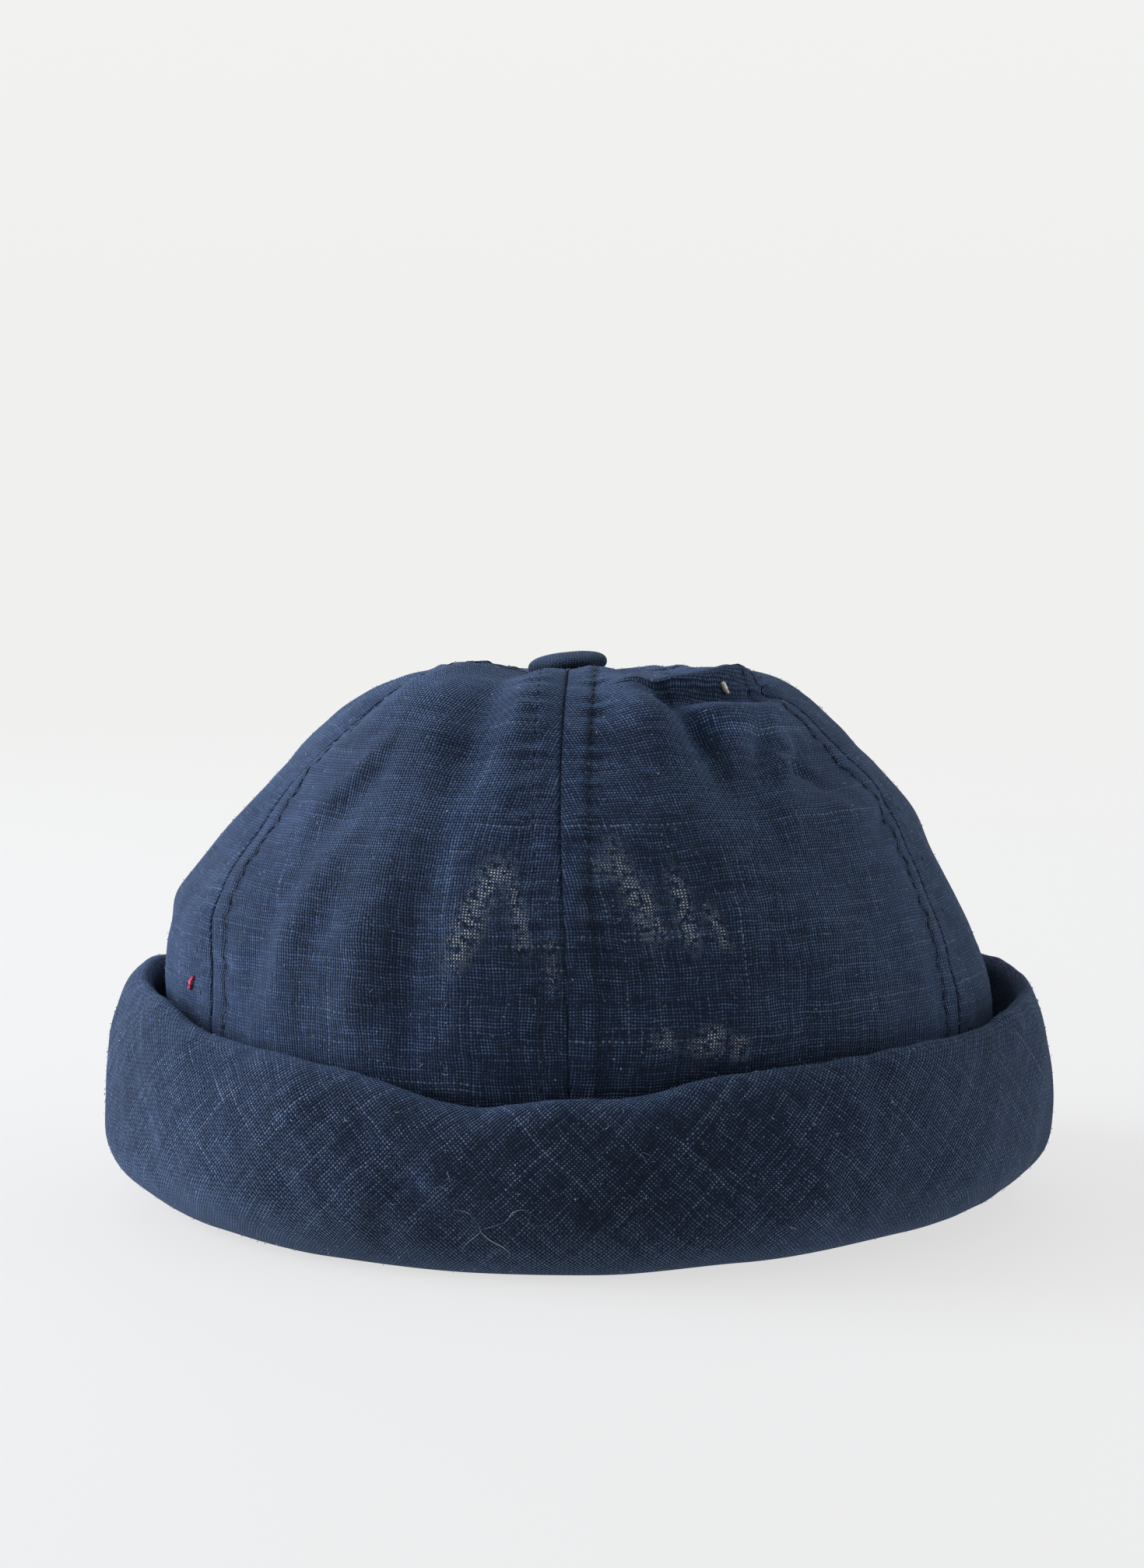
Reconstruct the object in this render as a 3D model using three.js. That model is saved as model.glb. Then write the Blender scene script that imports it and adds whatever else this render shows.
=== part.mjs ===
// A brimless sailor cap of washed linen, standing on its rolled cuff as it would on a table.
// Six gores meet under a cloth-covered button, and a doubled band is turned up round the head opening.
// +Z is up, the front seam faces -Y, and the origin is on the surface under the middle of the cap.
// Lengths are millimetres and angles degrees. Azimuth 0 is the front seam and grows towards +X.

import * as THREE from "three";

// Driving dimensions of the crown
const crownRadius = 91; // outside of the crown just above the cuff
const crownHeight = 115; // from the surface to the soft ridge round the button
const panelCloth = 1.0; // one layer of linen with its nap
const allowanceCloth = 0.8; // seam allowance pressed open behind each seam
const allowanceWidth = 6; // from the seam to the row of topstitching
const panelBulge = 1.4; // how far a gore stands out between its two seams
const hemHeight = 12; // lower edge of the gores, hidden inside the roll
const poleShift = -2.1; // the seams meet a little left of the middle
const ridgeRadius = 28; // the ridge round the button
const ridgeSink = 2.6; // how far that ridge sinks at the back and rises at the front

// Driving dimensions of the cuff
const cuffStandOff = 14; // from the outside of the crown to the outside of the cuff
const cuffRadius = crownRadius + cuffStandOff;
const cuffHeight = 45; // crest of the cuff at the back
const cuffCloth = 1.4; // two layers of linen pressed together
const bellyHeight = 17; // height at which the cuff is fullest
const footRadius = crownRadius; // the round turn at the foot rests under the crown's wall
const footFlat = 3; // width that is pressed flat there
const footPress = 0.2; // how much thinner the cloth is pressed there
const hemRise = 9; // height of the turn's inner side
const hemLap = 15; // how far the cuff's inner edge laps up inside the gores
const crestInset = 9.4; // from the fullest outside in to the top of the crest
const foldRadius = 1.9; // the crest's soft fold, to the middle of its cloth
const returnLength = 18; // loose inner layer that hangs from the crest
const returnLean = 2; // how far that layer leans out towards its hem

// Driving dimensions of the button
const buttonRadius = 8.7;
const buttonThickness = 3.6;
const buttonEdge = 1.5; // radius of the padded edge
const buttonTilt = 6.3; // its right side stands up
const shankRadius = 1.6;
const shankLength = 4;

// Clearance that keeps two sewn pieces apart
const seamGap = 0.3;

// Mesh fineness
const panelRows = 20;
const panelFields = 5; // spans between the two seam allowances of a gore
const allowanceStep = 0.9; // width of the slope at the edge of an allowance
const cuffSteps = 60;
const buttonSides = 24;

// Level sections of the crown from the hem to the button hole. Height is a share of crownHeight and the
// other columns are radii as shares of crownRadius, measured from the crown's own middle.
const crownSections = [
  { height: 0.104, front: 0.989, right: 0.989, back: 0.989, left: 0.989 },
  { height: 0.243, front: 0.992, right: 0.994, back: 0.993, left: 0.99 },
  { height: 0.391, front: 0.998, right: 0.993, back: 0.998, left: 0.99 },
  { height: 0.522, front: 0.965, right: 0.938, back: 0.957, left: 0.982 },
  { height: 0.626, front: 0.912, right: 0.872, back: 0.902, left: 0.906 },
  { height: 0.739, front: 0.818, right: 0.81, back: 0.808, left: 0.775 },
  { height: 0.852, front: 0.69, right: 0.694, back: 0.684, left: 0.637 },
  { height: 0.93, front: 0.58, right: 0.585, back: 0.563, left: 0.515 },
  { height: 0.978, front: 0.44, right: 0.48, back: 0.45, left: 0.385 },
  { height: 0.997, front: 0.3, right: 0.34, back: 0.31, left: 0.27 },
  { height: 0.988, front: 0.16, right: 0.165, back: 0.16, left: 0.155 },
  { height: 0.974, front: 0.035, right: 0.035, back: 0.035, left: 0.035 },
];

// The six seams in order round the crown, each named after the gore that begins there. A seam wanders on
// its way from the hem to the button.
const seams = [
  { gore: "front_right", azimuths: [-1, -2.2, -2.6, -2, -1] },
  { gore: "right", azimuths: [59, 64.5, 69.5, 66, 62] },
  { gore: "back_right", azimuths: [120, 119, 117, 120, 121] },
  { gore: "back_left", azimuths: [180, 181, 182, 180, 179] },
  { gore: "left", azimuths: [240, 242, 243, 240, 239] },
  { gore: "front_left", azimuths: [302, 300, 292.5, 292, 299] },
];

// Folds and dents pressed into the crown. Height is a share of crownHeight along the way up. Turn is the
// fold's direction: 0 runs round the crown and 90 runs up it. Length and width are shares of crownRadius
// and depth of crownHeight, positive where the cloth stands out.
const crownFolds = [
  { name: "left ridge", azimuth: -52, height: 0.97, turn: 88, length: 0.26, width: 0.1, depth: 0.018 },
  { name: "left valley", azimuth: -29, height: 0.9, turn: 94, length: 0.36, width: 0.09, depth: -0.024 },
  { name: "right ridge", azimuth: 17, height: 0.93, turn: 92, length: 0.26, width: 0.08, depth: 0.013 },
  { name: "right dent", azimuth: 39, height: 0.965, turn: 4, length: 0.2, width: 0.07, depth: -0.026 },
  { name: "right crest", azimuth: 62, height: 0.985, turn: 20, length: 0.18, width: 0.08, depth: 0.018 },
  { name: "side buckle", azimuth: 58, height: 0.77, turn: 6, length: 0.24, width: 0.07, depth: 0.016 },
  { name: "side hollow", azimuth: 50, height: 0.84, turn: 14, length: 0.24, width: 0.08, depth: -0.013 },
  { name: "left knee", azimuth: -88, height: 0.565, turn: 0, length: 0.5, width: 0.05, depth: 0.006 },
  { name: "left hollow", azimuth: -45, height: 0.74, turn: 60, length: 0.16, width: 0.09, depth: -0.01 },
  { name: "back valley", azimuth: 162, height: 0.9, turn: 88, length: 0.34, width: 0.1, depth: -0.02 },
  { name: "back ridge", azimuth: 205, height: 0.88, turn: 96, length: 0.3, width: 0.11, depth: 0.012 },
  { name: "back buckle", azimuth: 135, height: 0.7, turn: -8, length: 0.26, width: 0.09, depth: -0.014 },
];

// Stations round the cuff. Crest is a share of cuffHeight, belly of cuffRadius, foot of footRadius and
// inset of crestInset. Lift, a share of cuffHeight, raises the foot off the surface.
const cuffStations = [
  { azimuth: -12, crest: 0.755, belly: 0.99, foot: 1.0, inset: 0.9, lift: 0 },
  { azimuth: 2, crest: 0.805, belly: 0.99, foot: 1.0, inset: 0.9, lift: 0 },
  { azimuth: 20, crest: 0.89, belly: 0.992, foot: 0.998, inset: 0.88, lift: 0.045 },
  { azimuth: 45, crest: 0.935, belly: 0.994, foot: 0.99, inset: 0.85, lift: 0.1 },
  { azimuth: 72, crest: 0.985, belly: 0.997, foot: 0.975, inset: 0.78, lift: 0.13 },
  { azimuth: 104, crest: 1.06, belly: 0.998, foot: 0.975, inset: 0.78, lift: 0.05 },
  { azimuth: 140, crest: 0.97, belly: 0.992, foot: 0.985, inset: 0.85, lift: 0 },
  { azimuth: 185, crest: 0.93, belly: 0.99, foot: 0.995, inset: 0.9, lift: 0 },
  { azimuth: 225, crest: 0.97, belly: 0.994, foot: 0.985, inset: 0.95, lift: 0 },
  { azimuth: 262, crest: 1.08, belly: 0.998, foot: 0.975, inset: 1.0, lift: 0.02 },
  { azimuth: 290, crest: 1.07, belly: 0.997, foot: 0.975, inset: 1.0, lift: 0.05 },
  { azimuth: 325, crest: 0.91, belly: 0.993, foot: 0.99, inset: 0.95, lift: 0.01 },
];

const radians = THREE.MathUtils.degToRad;

// Point of the cap at an azimuth, a radius and a height, about a middle that lies at x = shift.
function polar(azimuth, radius, height, shift = 0) {
  const turn = radians(azimuth);
  return new THREE.Vector3(
    shift + radius * Math.sin(turn),
    -radius * Math.cos(turn),
    height,
  );
}

// Smooth curve through equally spaced values: share 0 is the first and share 1 the last.
function throughValues(values, share) {
  const place = share * (values.length - 1);
  const first = Math.min(Math.floor(place), values.length - 2);
  const t = place - first;
  const at = (k) => values[THREE.MathUtils.clamp(k, 0, values.length - 1)];
  const slopeIn = (at(first + 1) - at(first - 1)) / 2;
  const slopeOut = (at(first + 2) - at(first)) / 2;
  const squared = t * t;
  const cubed = squared * t;
  return (
    at(first) * (2 * cubed - 3 * squared + 1) +
    slopeIn * (cubed - 2 * squared + t) +
    at(first + 1) * (3 * squared - 2 * cubed) +
    slopeOut * (cubed - squared)
  );
}

// Value of one column of the cuff's stations, eased from each station to the next round the ring.
function cuffValue(column, azimuth) {
  const start = cuffStations[0].azimuth;
  const turned = start + THREE.MathUtils.euclideanModulo(azimuth - start, 360);
  const next = cuffStations.findIndex((station) => station.azimuth > turned);
  const after = cuffStations[next === -1 ? 0 : next];
  const before = cuffStations[(next === -1 ? cuffStations.length : next) - 1];
  const span = THREE.MathUtils.euclideanModulo(after.azimuth - before.azimuth, 360);
  const ease = THREE.MathUtils.smoothstep(turned - before.azimuth, 0, span);
  return THREE.MathUtils.lerp(before[column], after[column], ease);
}

// Radius and height of the crown before its folds, for a share of the way up its sections.
function crownProfile(azimuth, rise) {
  const column = (name) => throughValues(crownSections.map((row) => row[name]), rise);
  const turn = radians(azimuth);
  const forward = Math.cos(turn);
  const sideways = Math.sin(turn);
  const frontBack = forward > 0 ? column("front") : column("back");
  const leftRight = sideways > 0 ? column("right") : column("left");
  const radius = crownRadius * (frontBack * forward ** 2 + leftRight * sideways ** 2);
  const level = crownHeight * column("height");
  const nearTop = THREE.MathUtils.smoothstep(level, crownHeight * 0.6, crownHeight);
  const sink = ridgeSink * nearTop * Math.min(1, radius / ridgeRadius) * forward;
  return new THREE.Vector2(radius, level + sink);
}

// Outward direction of that profile in its upright plane.
function crownNormal(azimuth, rise) {
  const step = 0.01;
  const above = crownProfile(azimuth, Math.min(rise + step, 1));
  const below = crownProfile(azimuth, Math.max(rise - step, 0));
  const along = above.sub(below);
  return new THREE.Vector2(along.y, -along.x).normalize();
}

// Share of the way up at which the crown first reaches a height, a share of crownHeight.
function riseAtHeight(share) {
  const last = crownSections.length - 1;
  const upper = crownSections.findIndex((row) => row.height >= share);
  const below = crownSections[upper - 1];
  const part = (share - below.height) / (crownSections[upper].height - below.height);
  return (upper - 1 + part) / last;
}

// How far the folds move the crown's surface out at one place.
function foldDepth(azimuth, rise, profile) {
  let depth = 0;
  for (const fold of crownFolds) {
    const across = THREE.MathUtils.euclideanModulo(azimuth - fold.azimuth + 180, 360) - 180;
    const middle = crownProfile(fold.azimuth, riseAtHeight(fold.height));
    const round = (radians(across) * (profile.x + middle.x)) / 2;
    const up = Math.sign(rise - riseAtHeight(fold.height)) * profile.distanceTo(middle);
    const turn = radians(fold.turn);
    const along = (round * Math.cos(turn) + up * Math.sin(turn)) / (fold.length * crownRadius);
    const aside = (up * Math.cos(turn) - round * Math.sin(turn)) / (fold.width * crownRadius);
    depth += fold.depth * crownHeight * Math.exp(-(along ** 2) - aside ** 2);
  }
  return depth;
}

// Sideways place of the crown's middle at a height: the top leans towards the button.
function crownShift(height) {
  return poleShift * THREE.MathUtils.smoothstep(height, crownHeight * 0.4, crownHeight);
}

function seamAzimuth(seam, rise) {
  return throughValues(seam.azimuths, rise);
}

// Point on a gore between two seams. Share runs from the left seam to the right one, and inset is the
// depth below the cloth's face.
function panelPoint(leftSeam, rightSeam, share, rise, inset) {
  const left = seamAzimuth(leftSeam, rise);
  const right = seamAzimuth(rightSeam, rise);
  const azimuth = THREE.MathUtils.lerp(left, right, share);
  const profile = crownProfile(azimuth, rise);
  const normal = crownNormal(azimuth, rise);
  const slack = Math.min(1, profile.x / (crownRadius / 2)); // no bulge where the gores narrow
  const bulge = panelBulge * slack * (Math.sin(Math.PI * share) - 0.5);
  const lapRise = riseAtHeight((hemHeight + hemLap) / crownHeight);
  const hidden = THREE.MathUtils.smoothstep(rise, lapRise, 2.5 * lapRise); // the hem stays round
  const proud = (foldDepth(azimuth, rise, profile) + bulge) * hidden - inset;
  const radius = profile.x + normal.x * proud;
  const height = profile.y + normal.y * proud;
  const margin = THREE.MathUtils.radToDeg(Math.asin(seamGap / 2 / radius));
  const between = THREE.MathUtils.lerp(left + margin, right - margin, share);
  return polar(between, radius, height, crownShift(height));
}

// Closed surface through a row of loops. Each loop goes along the cloth's face and back along its inside.
function loftLoops(loops, closed) {
  const count = loops[0].length;
  const index = [];
  const addQuad = (a, b, c, d) => index.push(a, b, c, a, c, d);
  const spans = closed ? loops.length : loops.length - 1;
  for (let row = 0; row < spans; row += 1) {
    const here = row * count;
    const next = ((row + 1) % loops.length) * count;
    for (let i = 0; i < count; i += 1) {
      const beside = (i + 1) % count;
      addQuad(here + i, here + beside, next + beside, next + i);
    }
  }
  const last = (loops.length - 1) * count;
  for (let i = 0; !closed && i < count / 2 - 1; i += 1) {
    const across = count - 1 - i;
    addQuad(i, across, across - 1, i + 1);
    addQuad(last + i, last + i + 1, last + across - 1, last + across);
  }
  const geometry = new THREE.BufferGeometry().setFromPoints(loops.flat());
  geometry.setIndex(index);
  geometry.computeVertexNormals();
  return geometry;
}

// Shares across a gore where its mesh has a column: both allowances with their slopes, and even fields.
function panelColumns(width) {
  const allowance = Math.min(allowanceWidth / width, 0.3);
  const slope = Math.min(allowanceStep / width, 0.05);
  const inner = allowance + slope;
  const columns = [{ share: 0, doubled: true }, { share: allowance, doubled: true }];
  for (let i = 0; i <= panelFields; i += 1) {
    columns.push({ share: THREE.MathUtils.lerp(inner, 1 - inner, i / panelFields), doubled: false });
  }
  columns.push({ share: 1 - allowance, doubled: true }, { share: 1, doubled: true });
  return columns;
}

// One gore: a single layer of cloth with a second layer, its seam allowance, behind each long edge.
function panelGeometry(leftSeam, rightSeam) {
  const loops = [];
  for (let row = 0; row <= panelRows; row += 1) {
    const rise = row / panelRows;
    const left = seamAzimuth(leftSeam, rise);
    const right = seamAzimuth(rightSeam, rise);
    const width = radians(right - left) * crownProfile(left, rise).x;
    const columns = panelColumns(width);
    const at = (column, inset) => panelPoint(leftSeam, rightSeam, column.share, rise, inset);
    const face = columns.map((column) => at(column, 0));
    const inside = columns.map((column) => at(column, panelCloth + (column.doubled ? allowanceCloth : 0)));
    loops.push([...face, ...inside.reverse()]);
  }
  return loftLoops(loops, false);
}

// Adds a quarter of an ellipse to a path, from its first turn to the next one in quarters of a circle.
function addQuarter(path, middle, reach, firstTurn, direction, steps) {
  for (let i = 1; i <= steps; i += 1) {
    const turn = (Math.PI / 2) * (firstTurn + (direction * i) / steps);
    const radius = middle.x + reach.x * Math.cos(turn);
    path.push(new THREE.Vector2(radius, middle.y + reach.y * Math.sin(turn)));
  }
}

// Middle line of the cuff's cloth in an upright plane: down inside the hem, round the foot, up the
// outside, over the crest and down again.
function cuffPath(azimuth) {
  const half = cuffCloth / 2;
  const crest = cuffHeight * cuffValue("crest", azimuth) - half;
  const lift = cuffHeight * cuffValue("lift", azimuth);
  const low = half - footPress;
  const hemFace = crownRadius * crownSections[0].front - panelCloth - allowanceCloth - seamGap;
  const inner = hemFace - half;
  const outer = cuffRadius * cuffValue("belly", azimuth) - half;
  const top = outer + half - crestInset * cuffValue("inset", azimuth);
  const foot = footRadius * cuffValue("foot", azimuth);
  const heel = new THREE.Vector2(foot - footFlat / 2, hemRise);
  const toe = new THREE.Vector2(foot + footFlat / 2, bellyHeight);
  const path = [new THREE.Vector2(inner, hemHeight + hemLap), new THREE.Vector2(inner, hemRise)];
  addQuarter(path, heel, new THREE.Vector2(heel.x - inner, hemRise - low), 2, 1, 3);
  path.push(new THREE.Vector2(toe.x, low));
  addQuarter(path, toe, new THREE.Vector2(outer - toe.x, bellyHeight - low), 3, 1, 5);
  const shoulder = new THREE.Vector2(top, bellyHeight);
  addQuarter(path, shoulder, new THREE.Vector2(outer - top, crest - bellyHeight), 0, 1, 6);
  const fold = new THREE.Vector2(top, crest - foldRadius);
  addQuarter(path, fold, new THREE.Vector2(foldRadius, foldRadius), 1, 1, 3);
  path.push(new THREE.Vector2(top - foldRadius + returnLean / 3, fold.y - returnLength / 2));
  path.push(new THREE.Vector2(top - foldRadius + returnLean, fold.y - returnLength));
  for (const point of path) {
    point.y += lift * Math.max(0, 1 - point.y / bellyHeight);
  }
  return path;
}

// The cuff's closed section at one azimuth: its path given the cloth's thickness.
function cuffLoop(azimuth) {
  const path = cuffPath(azimuth);
  const offset = (side) =>
    path.map((point, i) => {
      const before = path[Math.max(i - 1, 0)];
      const after = path[Math.min(i + 1, path.length - 1)];
      const along = after.clone().sub(before).normalize();
      const reach = (side * cuffCloth) / 2;
      const height = Math.max(point.y - along.x * reach, 0); // pressed flat on the surface
      return polar(azimuth, point.x + along.y * reach, height);
    });
  return [...offset(1), ...offset(-1).reverse()].reverse();
}

function cuffGeometry() {
  const loops = [];
  for (let step = 0; step < cuffSteps; step += 1) {
    loops.push(cuffLoop((360 * step) / cuffSteps));
  }
  return loftLoops(loops, true);
}

// A padded disc with a rounded edge and a slightly domed top, and the shank that holds it.
function buttonGeometry() {
  const profile = [new THREE.Vector2(0, -shankLength), new THREE.Vector2(shankRadius, -shankLength)];
  profile.push(new THREE.Vector2(shankRadius, 0));
  const edgeSteps = 5;
  const flank = buttonThickness - 2 * buttonEdge;
  for (let i = 0; i <= edgeSteps; i += 1) {
    const turn = Math.PI * (i / edgeSteps - 0.5);
    const rim = buttonRadius - buttonEdge + buttonEdge * Math.cos(turn);
    const level = buttonEdge + flank * (i / edgeSteps) * 0.6 + buttonEdge * Math.sin(turn);
    profile.push(new THREE.Vector2(rim, level));
  }
  const domeSteps = 2;
  for (let i = 1; i <= domeSteps; i += 1) {
    const share = i / domeSteps;
    const radius = (buttonRadius - buttonEdge) * (1 - share);
    const crown = buttonThickness - flank * 0.4 * (1 - share) ** 2;
    profile.push(new THREE.Vector2(radius, crown));
  }
  const geometry = new THREE.LatheGeometry(profile, buttonSides);
  geometry.rotateX(Math.PI / 2); // the lathe turns about +Y and the cap stands along +Z
  return geometry;
}

// Height at which the tilted button just clears the cloth beneath it.
function buttonHeight() {
  const turns = 24;
  const steps = 30;
  let seat = 0;
  for (let i = 0; i < turns * steps; i += 1) {
    const azimuth = (360 * (i % turns)) / turns;
    const rise = 1 - (0.2 * Math.floor(i / turns)) / steps;
    const profile = crownProfile(azimuth, rise);
    if (profile.x < buttonRadius) {
      const cloth = profile.y + foldDepth(azimuth, rise, profile) * crownNormal(azimuth, rise).y;
      const drop = profile.x * Math.sin(radians(azimuth)) * Math.tan(radians(buttonTilt));
      seat = Math.max(seat, cloth - drop);
    }
  }
  return seat + seamGap;
}

const linen = new THREE.MeshStandardMaterial({ color: 0x2b3c58, roughness: 0.92, metalness: 0 });
const cuffLinen = new THREE.MeshStandardMaterial({ color: 0x283852, roughness: 0.92, metalness: 0 });
const buttonLinen = new THREE.MeshStandardMaterial({ color: 0x1f2b3f, roughness: 0.9, metalness: 0 });

function named(name, geometry, material) {
  const mesh = new THREE.Mesh(geometry, material);
  mesh.name = name;
  return mesh;
}

const firstSeamAgain = { azimuths: seams[0].azimuths.map((azimuth) => azimuth + 360) };

const cap = new THREE.Group();
seams.forEach((seam, i) => {
  const geometry = panelGeometry(seam, seams[i + 1] ?? firstSeamAgain);
  cap.add(named(`crown_panel_${seam.gore}`, geometry, linen));
});

cap.add(named("cuff", cuffGeometry(), cuffLinen));

const button = named("top_button", buttonGeometry(), buttonLinen);
button.rotation.y = -radians(buttonTilt);
button.position.set(poleShift, 0, buttonHeight());
cap.add(button);

export default cap;
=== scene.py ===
import bmesh
import bpy
import numpy as np
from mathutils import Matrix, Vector


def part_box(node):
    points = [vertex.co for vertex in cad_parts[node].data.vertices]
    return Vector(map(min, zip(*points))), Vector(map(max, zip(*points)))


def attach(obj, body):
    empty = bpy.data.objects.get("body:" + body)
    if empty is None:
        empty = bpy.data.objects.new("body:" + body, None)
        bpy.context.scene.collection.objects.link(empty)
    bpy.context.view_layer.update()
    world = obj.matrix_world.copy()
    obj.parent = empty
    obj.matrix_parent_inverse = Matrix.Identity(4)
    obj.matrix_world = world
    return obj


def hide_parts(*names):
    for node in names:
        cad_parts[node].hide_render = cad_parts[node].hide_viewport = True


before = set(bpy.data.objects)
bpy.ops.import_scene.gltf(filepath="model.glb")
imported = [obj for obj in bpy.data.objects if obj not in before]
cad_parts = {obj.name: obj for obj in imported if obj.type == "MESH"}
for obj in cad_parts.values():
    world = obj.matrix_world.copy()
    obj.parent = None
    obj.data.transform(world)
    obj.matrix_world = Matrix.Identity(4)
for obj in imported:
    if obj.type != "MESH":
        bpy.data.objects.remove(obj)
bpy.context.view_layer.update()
millimetre = 0.001
uvSpan = 100.0  # millimetres of cloth to one unit of its UV map


# Small helpers

def linear(hexColour):
    # sRGB channels to linear: c / 12.92 near black, else ((c + 0.055) / 1.055) to the power 2.4
    channels = [int(hexColour[i:i + 2], 16) / 255 for i in (1, 3, 5)]
    return [c / 12.92 if c <= 0.04045 else ((c + 0.055) / 1.055) ** 2.4 for c in channels] + [1.0]


def addNode(tree, kind, inputs=None, take=0, **settings):
    # Adds a node, sets what it is told to, links what is a socket and returns the wanted output
    node = tree.nodes.new(kind)
    for key, value in settings.items():
        setattr(node, key, value)
    for key, value in (inputs or {}).items():
        if isinstance(value, bpy.types.NodeSocket):
            tree.links.new(value, node.inputs[key])
        else:
            node.inputs[key].default_value = value
    return node.outputs[take]


# The mix node's sockets for colours and for numbers, and the settings with which it mixes colours
colourA, colourB, numberA, numberB = 6, 7, 2, 3
ofColours = {"take": 2, "data_type": "RGBA"}


def newMaterial(name, roughness, specular):
    # A material with its node tree and its shader, which has no more than this gloss
    material = bpy.data.materials.new(name)
    material.use_nodes = True
    shader = material.node_tree.nodes["Principled BSDF"]
    shader.inputs["Roughness"].default_value = roughness
    shader.inputs["Specular IOR Level"].default_value = specular
    return material, material.node_tree, shader


def addObject(name, data):
    # Links an object to the scene, at the origin and unturned
    thing = bpy.data.objects.new(name, data)
    bpy.context.scene.collection.objects.link(thing)
    return thing


def smoothStep(value, low, high):
    # 3t² - 2t³ for t from 0 at low to 1 at high
    t = np.clip((value - low) / (high - low), 0, 1)
    return t * t * (3 - 2 * t)


def bump(value, middle, width):
    # Gaussian hill of height 1
    return np.exp(-((value - middle) / width) ** 2)


def arcFrom(place, azimuth, radius):
    # Length of the arc from one azimuth to another, the short way round
    return np.radians((azimuth - place + 180) % 360 - 180) * radius


def softWaves(azimuth, radius, height, shortest, longest, seed, count=24):
    # Sum of plane waves through space in random directions, with wavelengths between two lengths, about
    # -1 to 1. It has no seam anywhere round the cap
    draw = np.random.RandomState(seed)
    turn = np.radians(azimuth)
    x, y = radius * np.sin(turn), -radius * np.cos(turn)
    total = 0 * (x + y + height)
    for _ in range(count):
        ahead = draw.normal(size=3)
        ahead *= 2 * np.pi / draw.uniform(shortest, longest) / np.linalg.norm(ahead)
        total = total + np.sin(x * ahead[0] + y * ahead[1] + height * ahead[2] + draw.uniform(0, 2 * np.pi))
    return total * 1.4 / np.sqrt(count)


def ripples(azimuth, radius, height, waves):
    # Sum of soft waves, each with its size, shortest and longest length and seed
    return sum(size * softWaves(azimuth, radius, height, *rest) for size, *rest in waves)


def throughValues(values, share):
    # Catmull-Rom curve through equally spaced values: share 0 is the first and 1 the last
    values = np.asarray(values, float)
    place = np.clip(share, 0, 1) * (len(values) - 1)
    first = np.clip(np.floor(place).astype(int), 0, len(values) - 2)
    t = place - first
    before, start, end, after = (values[np.clip(first + k, 0, len(values) - 1)] for k in (-1, 0, 1, 2))
    slopeIn, slopeOut = (end - before) / 2, (after - start) / 2
    return (start * (2 * t ** 3 - 3 * t ** 2 + 1) + slopeIn * (t ** 3 - 2 * t ** 2 + t)
            + end * (3 * t ** 2 - 2 * t ** 3) + slopeOut * (t ** 3 - t ** 2))


def polar(azimuth, radius, height, shift=0):
    # Point at a radius and height about an upright line through x = shift
    turn = np.radians(azimuth)
    return np.stack([shift + radius * np.sin(turn), -radius * np.cos(turn), height + 0 * radius], -1)


def gridFaces(rows, columns, closeColumns=False, closeRows=False, start=0):
    # Quads of a grid whose points run along its columns first
    across = columns if closeColumns else columns - 1
    down = rows if closeRows else rows - 1
    i, j = np.meshgrid(np.arange(down), np.arange(across), indexing="ij")
    nextI, nextJ = (i + 1) % rows, (j + 1) % columns
    quads = np.stack([i * columns + j, i * columns + nextJ, nextI * columns + nextJ, nextI * columns + j], -1)
    return quads.reshape(-1, 4) + start


skins = {"crown": [], "cuff": []}
joinWithin = 0.0001  # mm at which two points of a skin are one


def keepSkin(part, grid):
    # Remembers a grid of cloth points with its two tangents, its outward normals and each point's share of
    # the area, for the threads and fibres that lie on the cloth
    across, along = np.gradient(grid, axis=1), np.gradient(grid, axis=0)
    normal = np.cross(across, along)
    area = np.linalg.norm(normal, axis=-1)
    outward = normal / np.maximum(area[..., None], 1e-9)
    across = across / np.maximum(np.linalg.norm(across, axis=-1, keepdims=True), 1e-9)
    upward = np.cross(outward, across)
    kept = (grid, across, upward, outward, area[..., None])
    skins[part].append([values.reshape(-1, values.shape[-1]) for values in kept])


def meshPiece(name, points, faces, material, uv=None, layers=None):
    # Puts arrays of points and faces into a smooth mesh object at the origin, with its own UV map in mm
    mesh = bpy.data.meshes.new(name)
    mesh.from_pydata((np.asarray(points) * millimetre).tolist(), [], faces.tolist())
    mesh.polygons.foreach_set("use_smooth", np.ones(len(mesh.polygons), bool))
    if uv is not None:
        corners = np.empty(len(mesh.loops), int)
        mesh.loops.foreach_get("vertex_index", corners)
        mesh.uv_layers.new(name="grain").data.foreach_set("uv", (uv[corners] / uvSpan).ravel())
    for layer, values in (layers or {}).items():
        mesh.attributes.new(layer, "FLOAT", "POINT").data.foreach_set("value", values.ravel())
    mesh.materials.append(material)
    # Where a ring's ends or a pole's points coincide they become one, which closes the skin
    joined = bmesh.new()
    joined.from_mesh(mesh)
    bmesh.ops.remove_doubles(joined, verts=joined.verts, dist=joinWithin * millimetre)
    joined.to_mesh(mesh)
    joined.free()
    mesh.update()
    piece = addObject(name, mesh)
    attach(piece, "root")
    return piece


# Camera, floor and light

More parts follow.
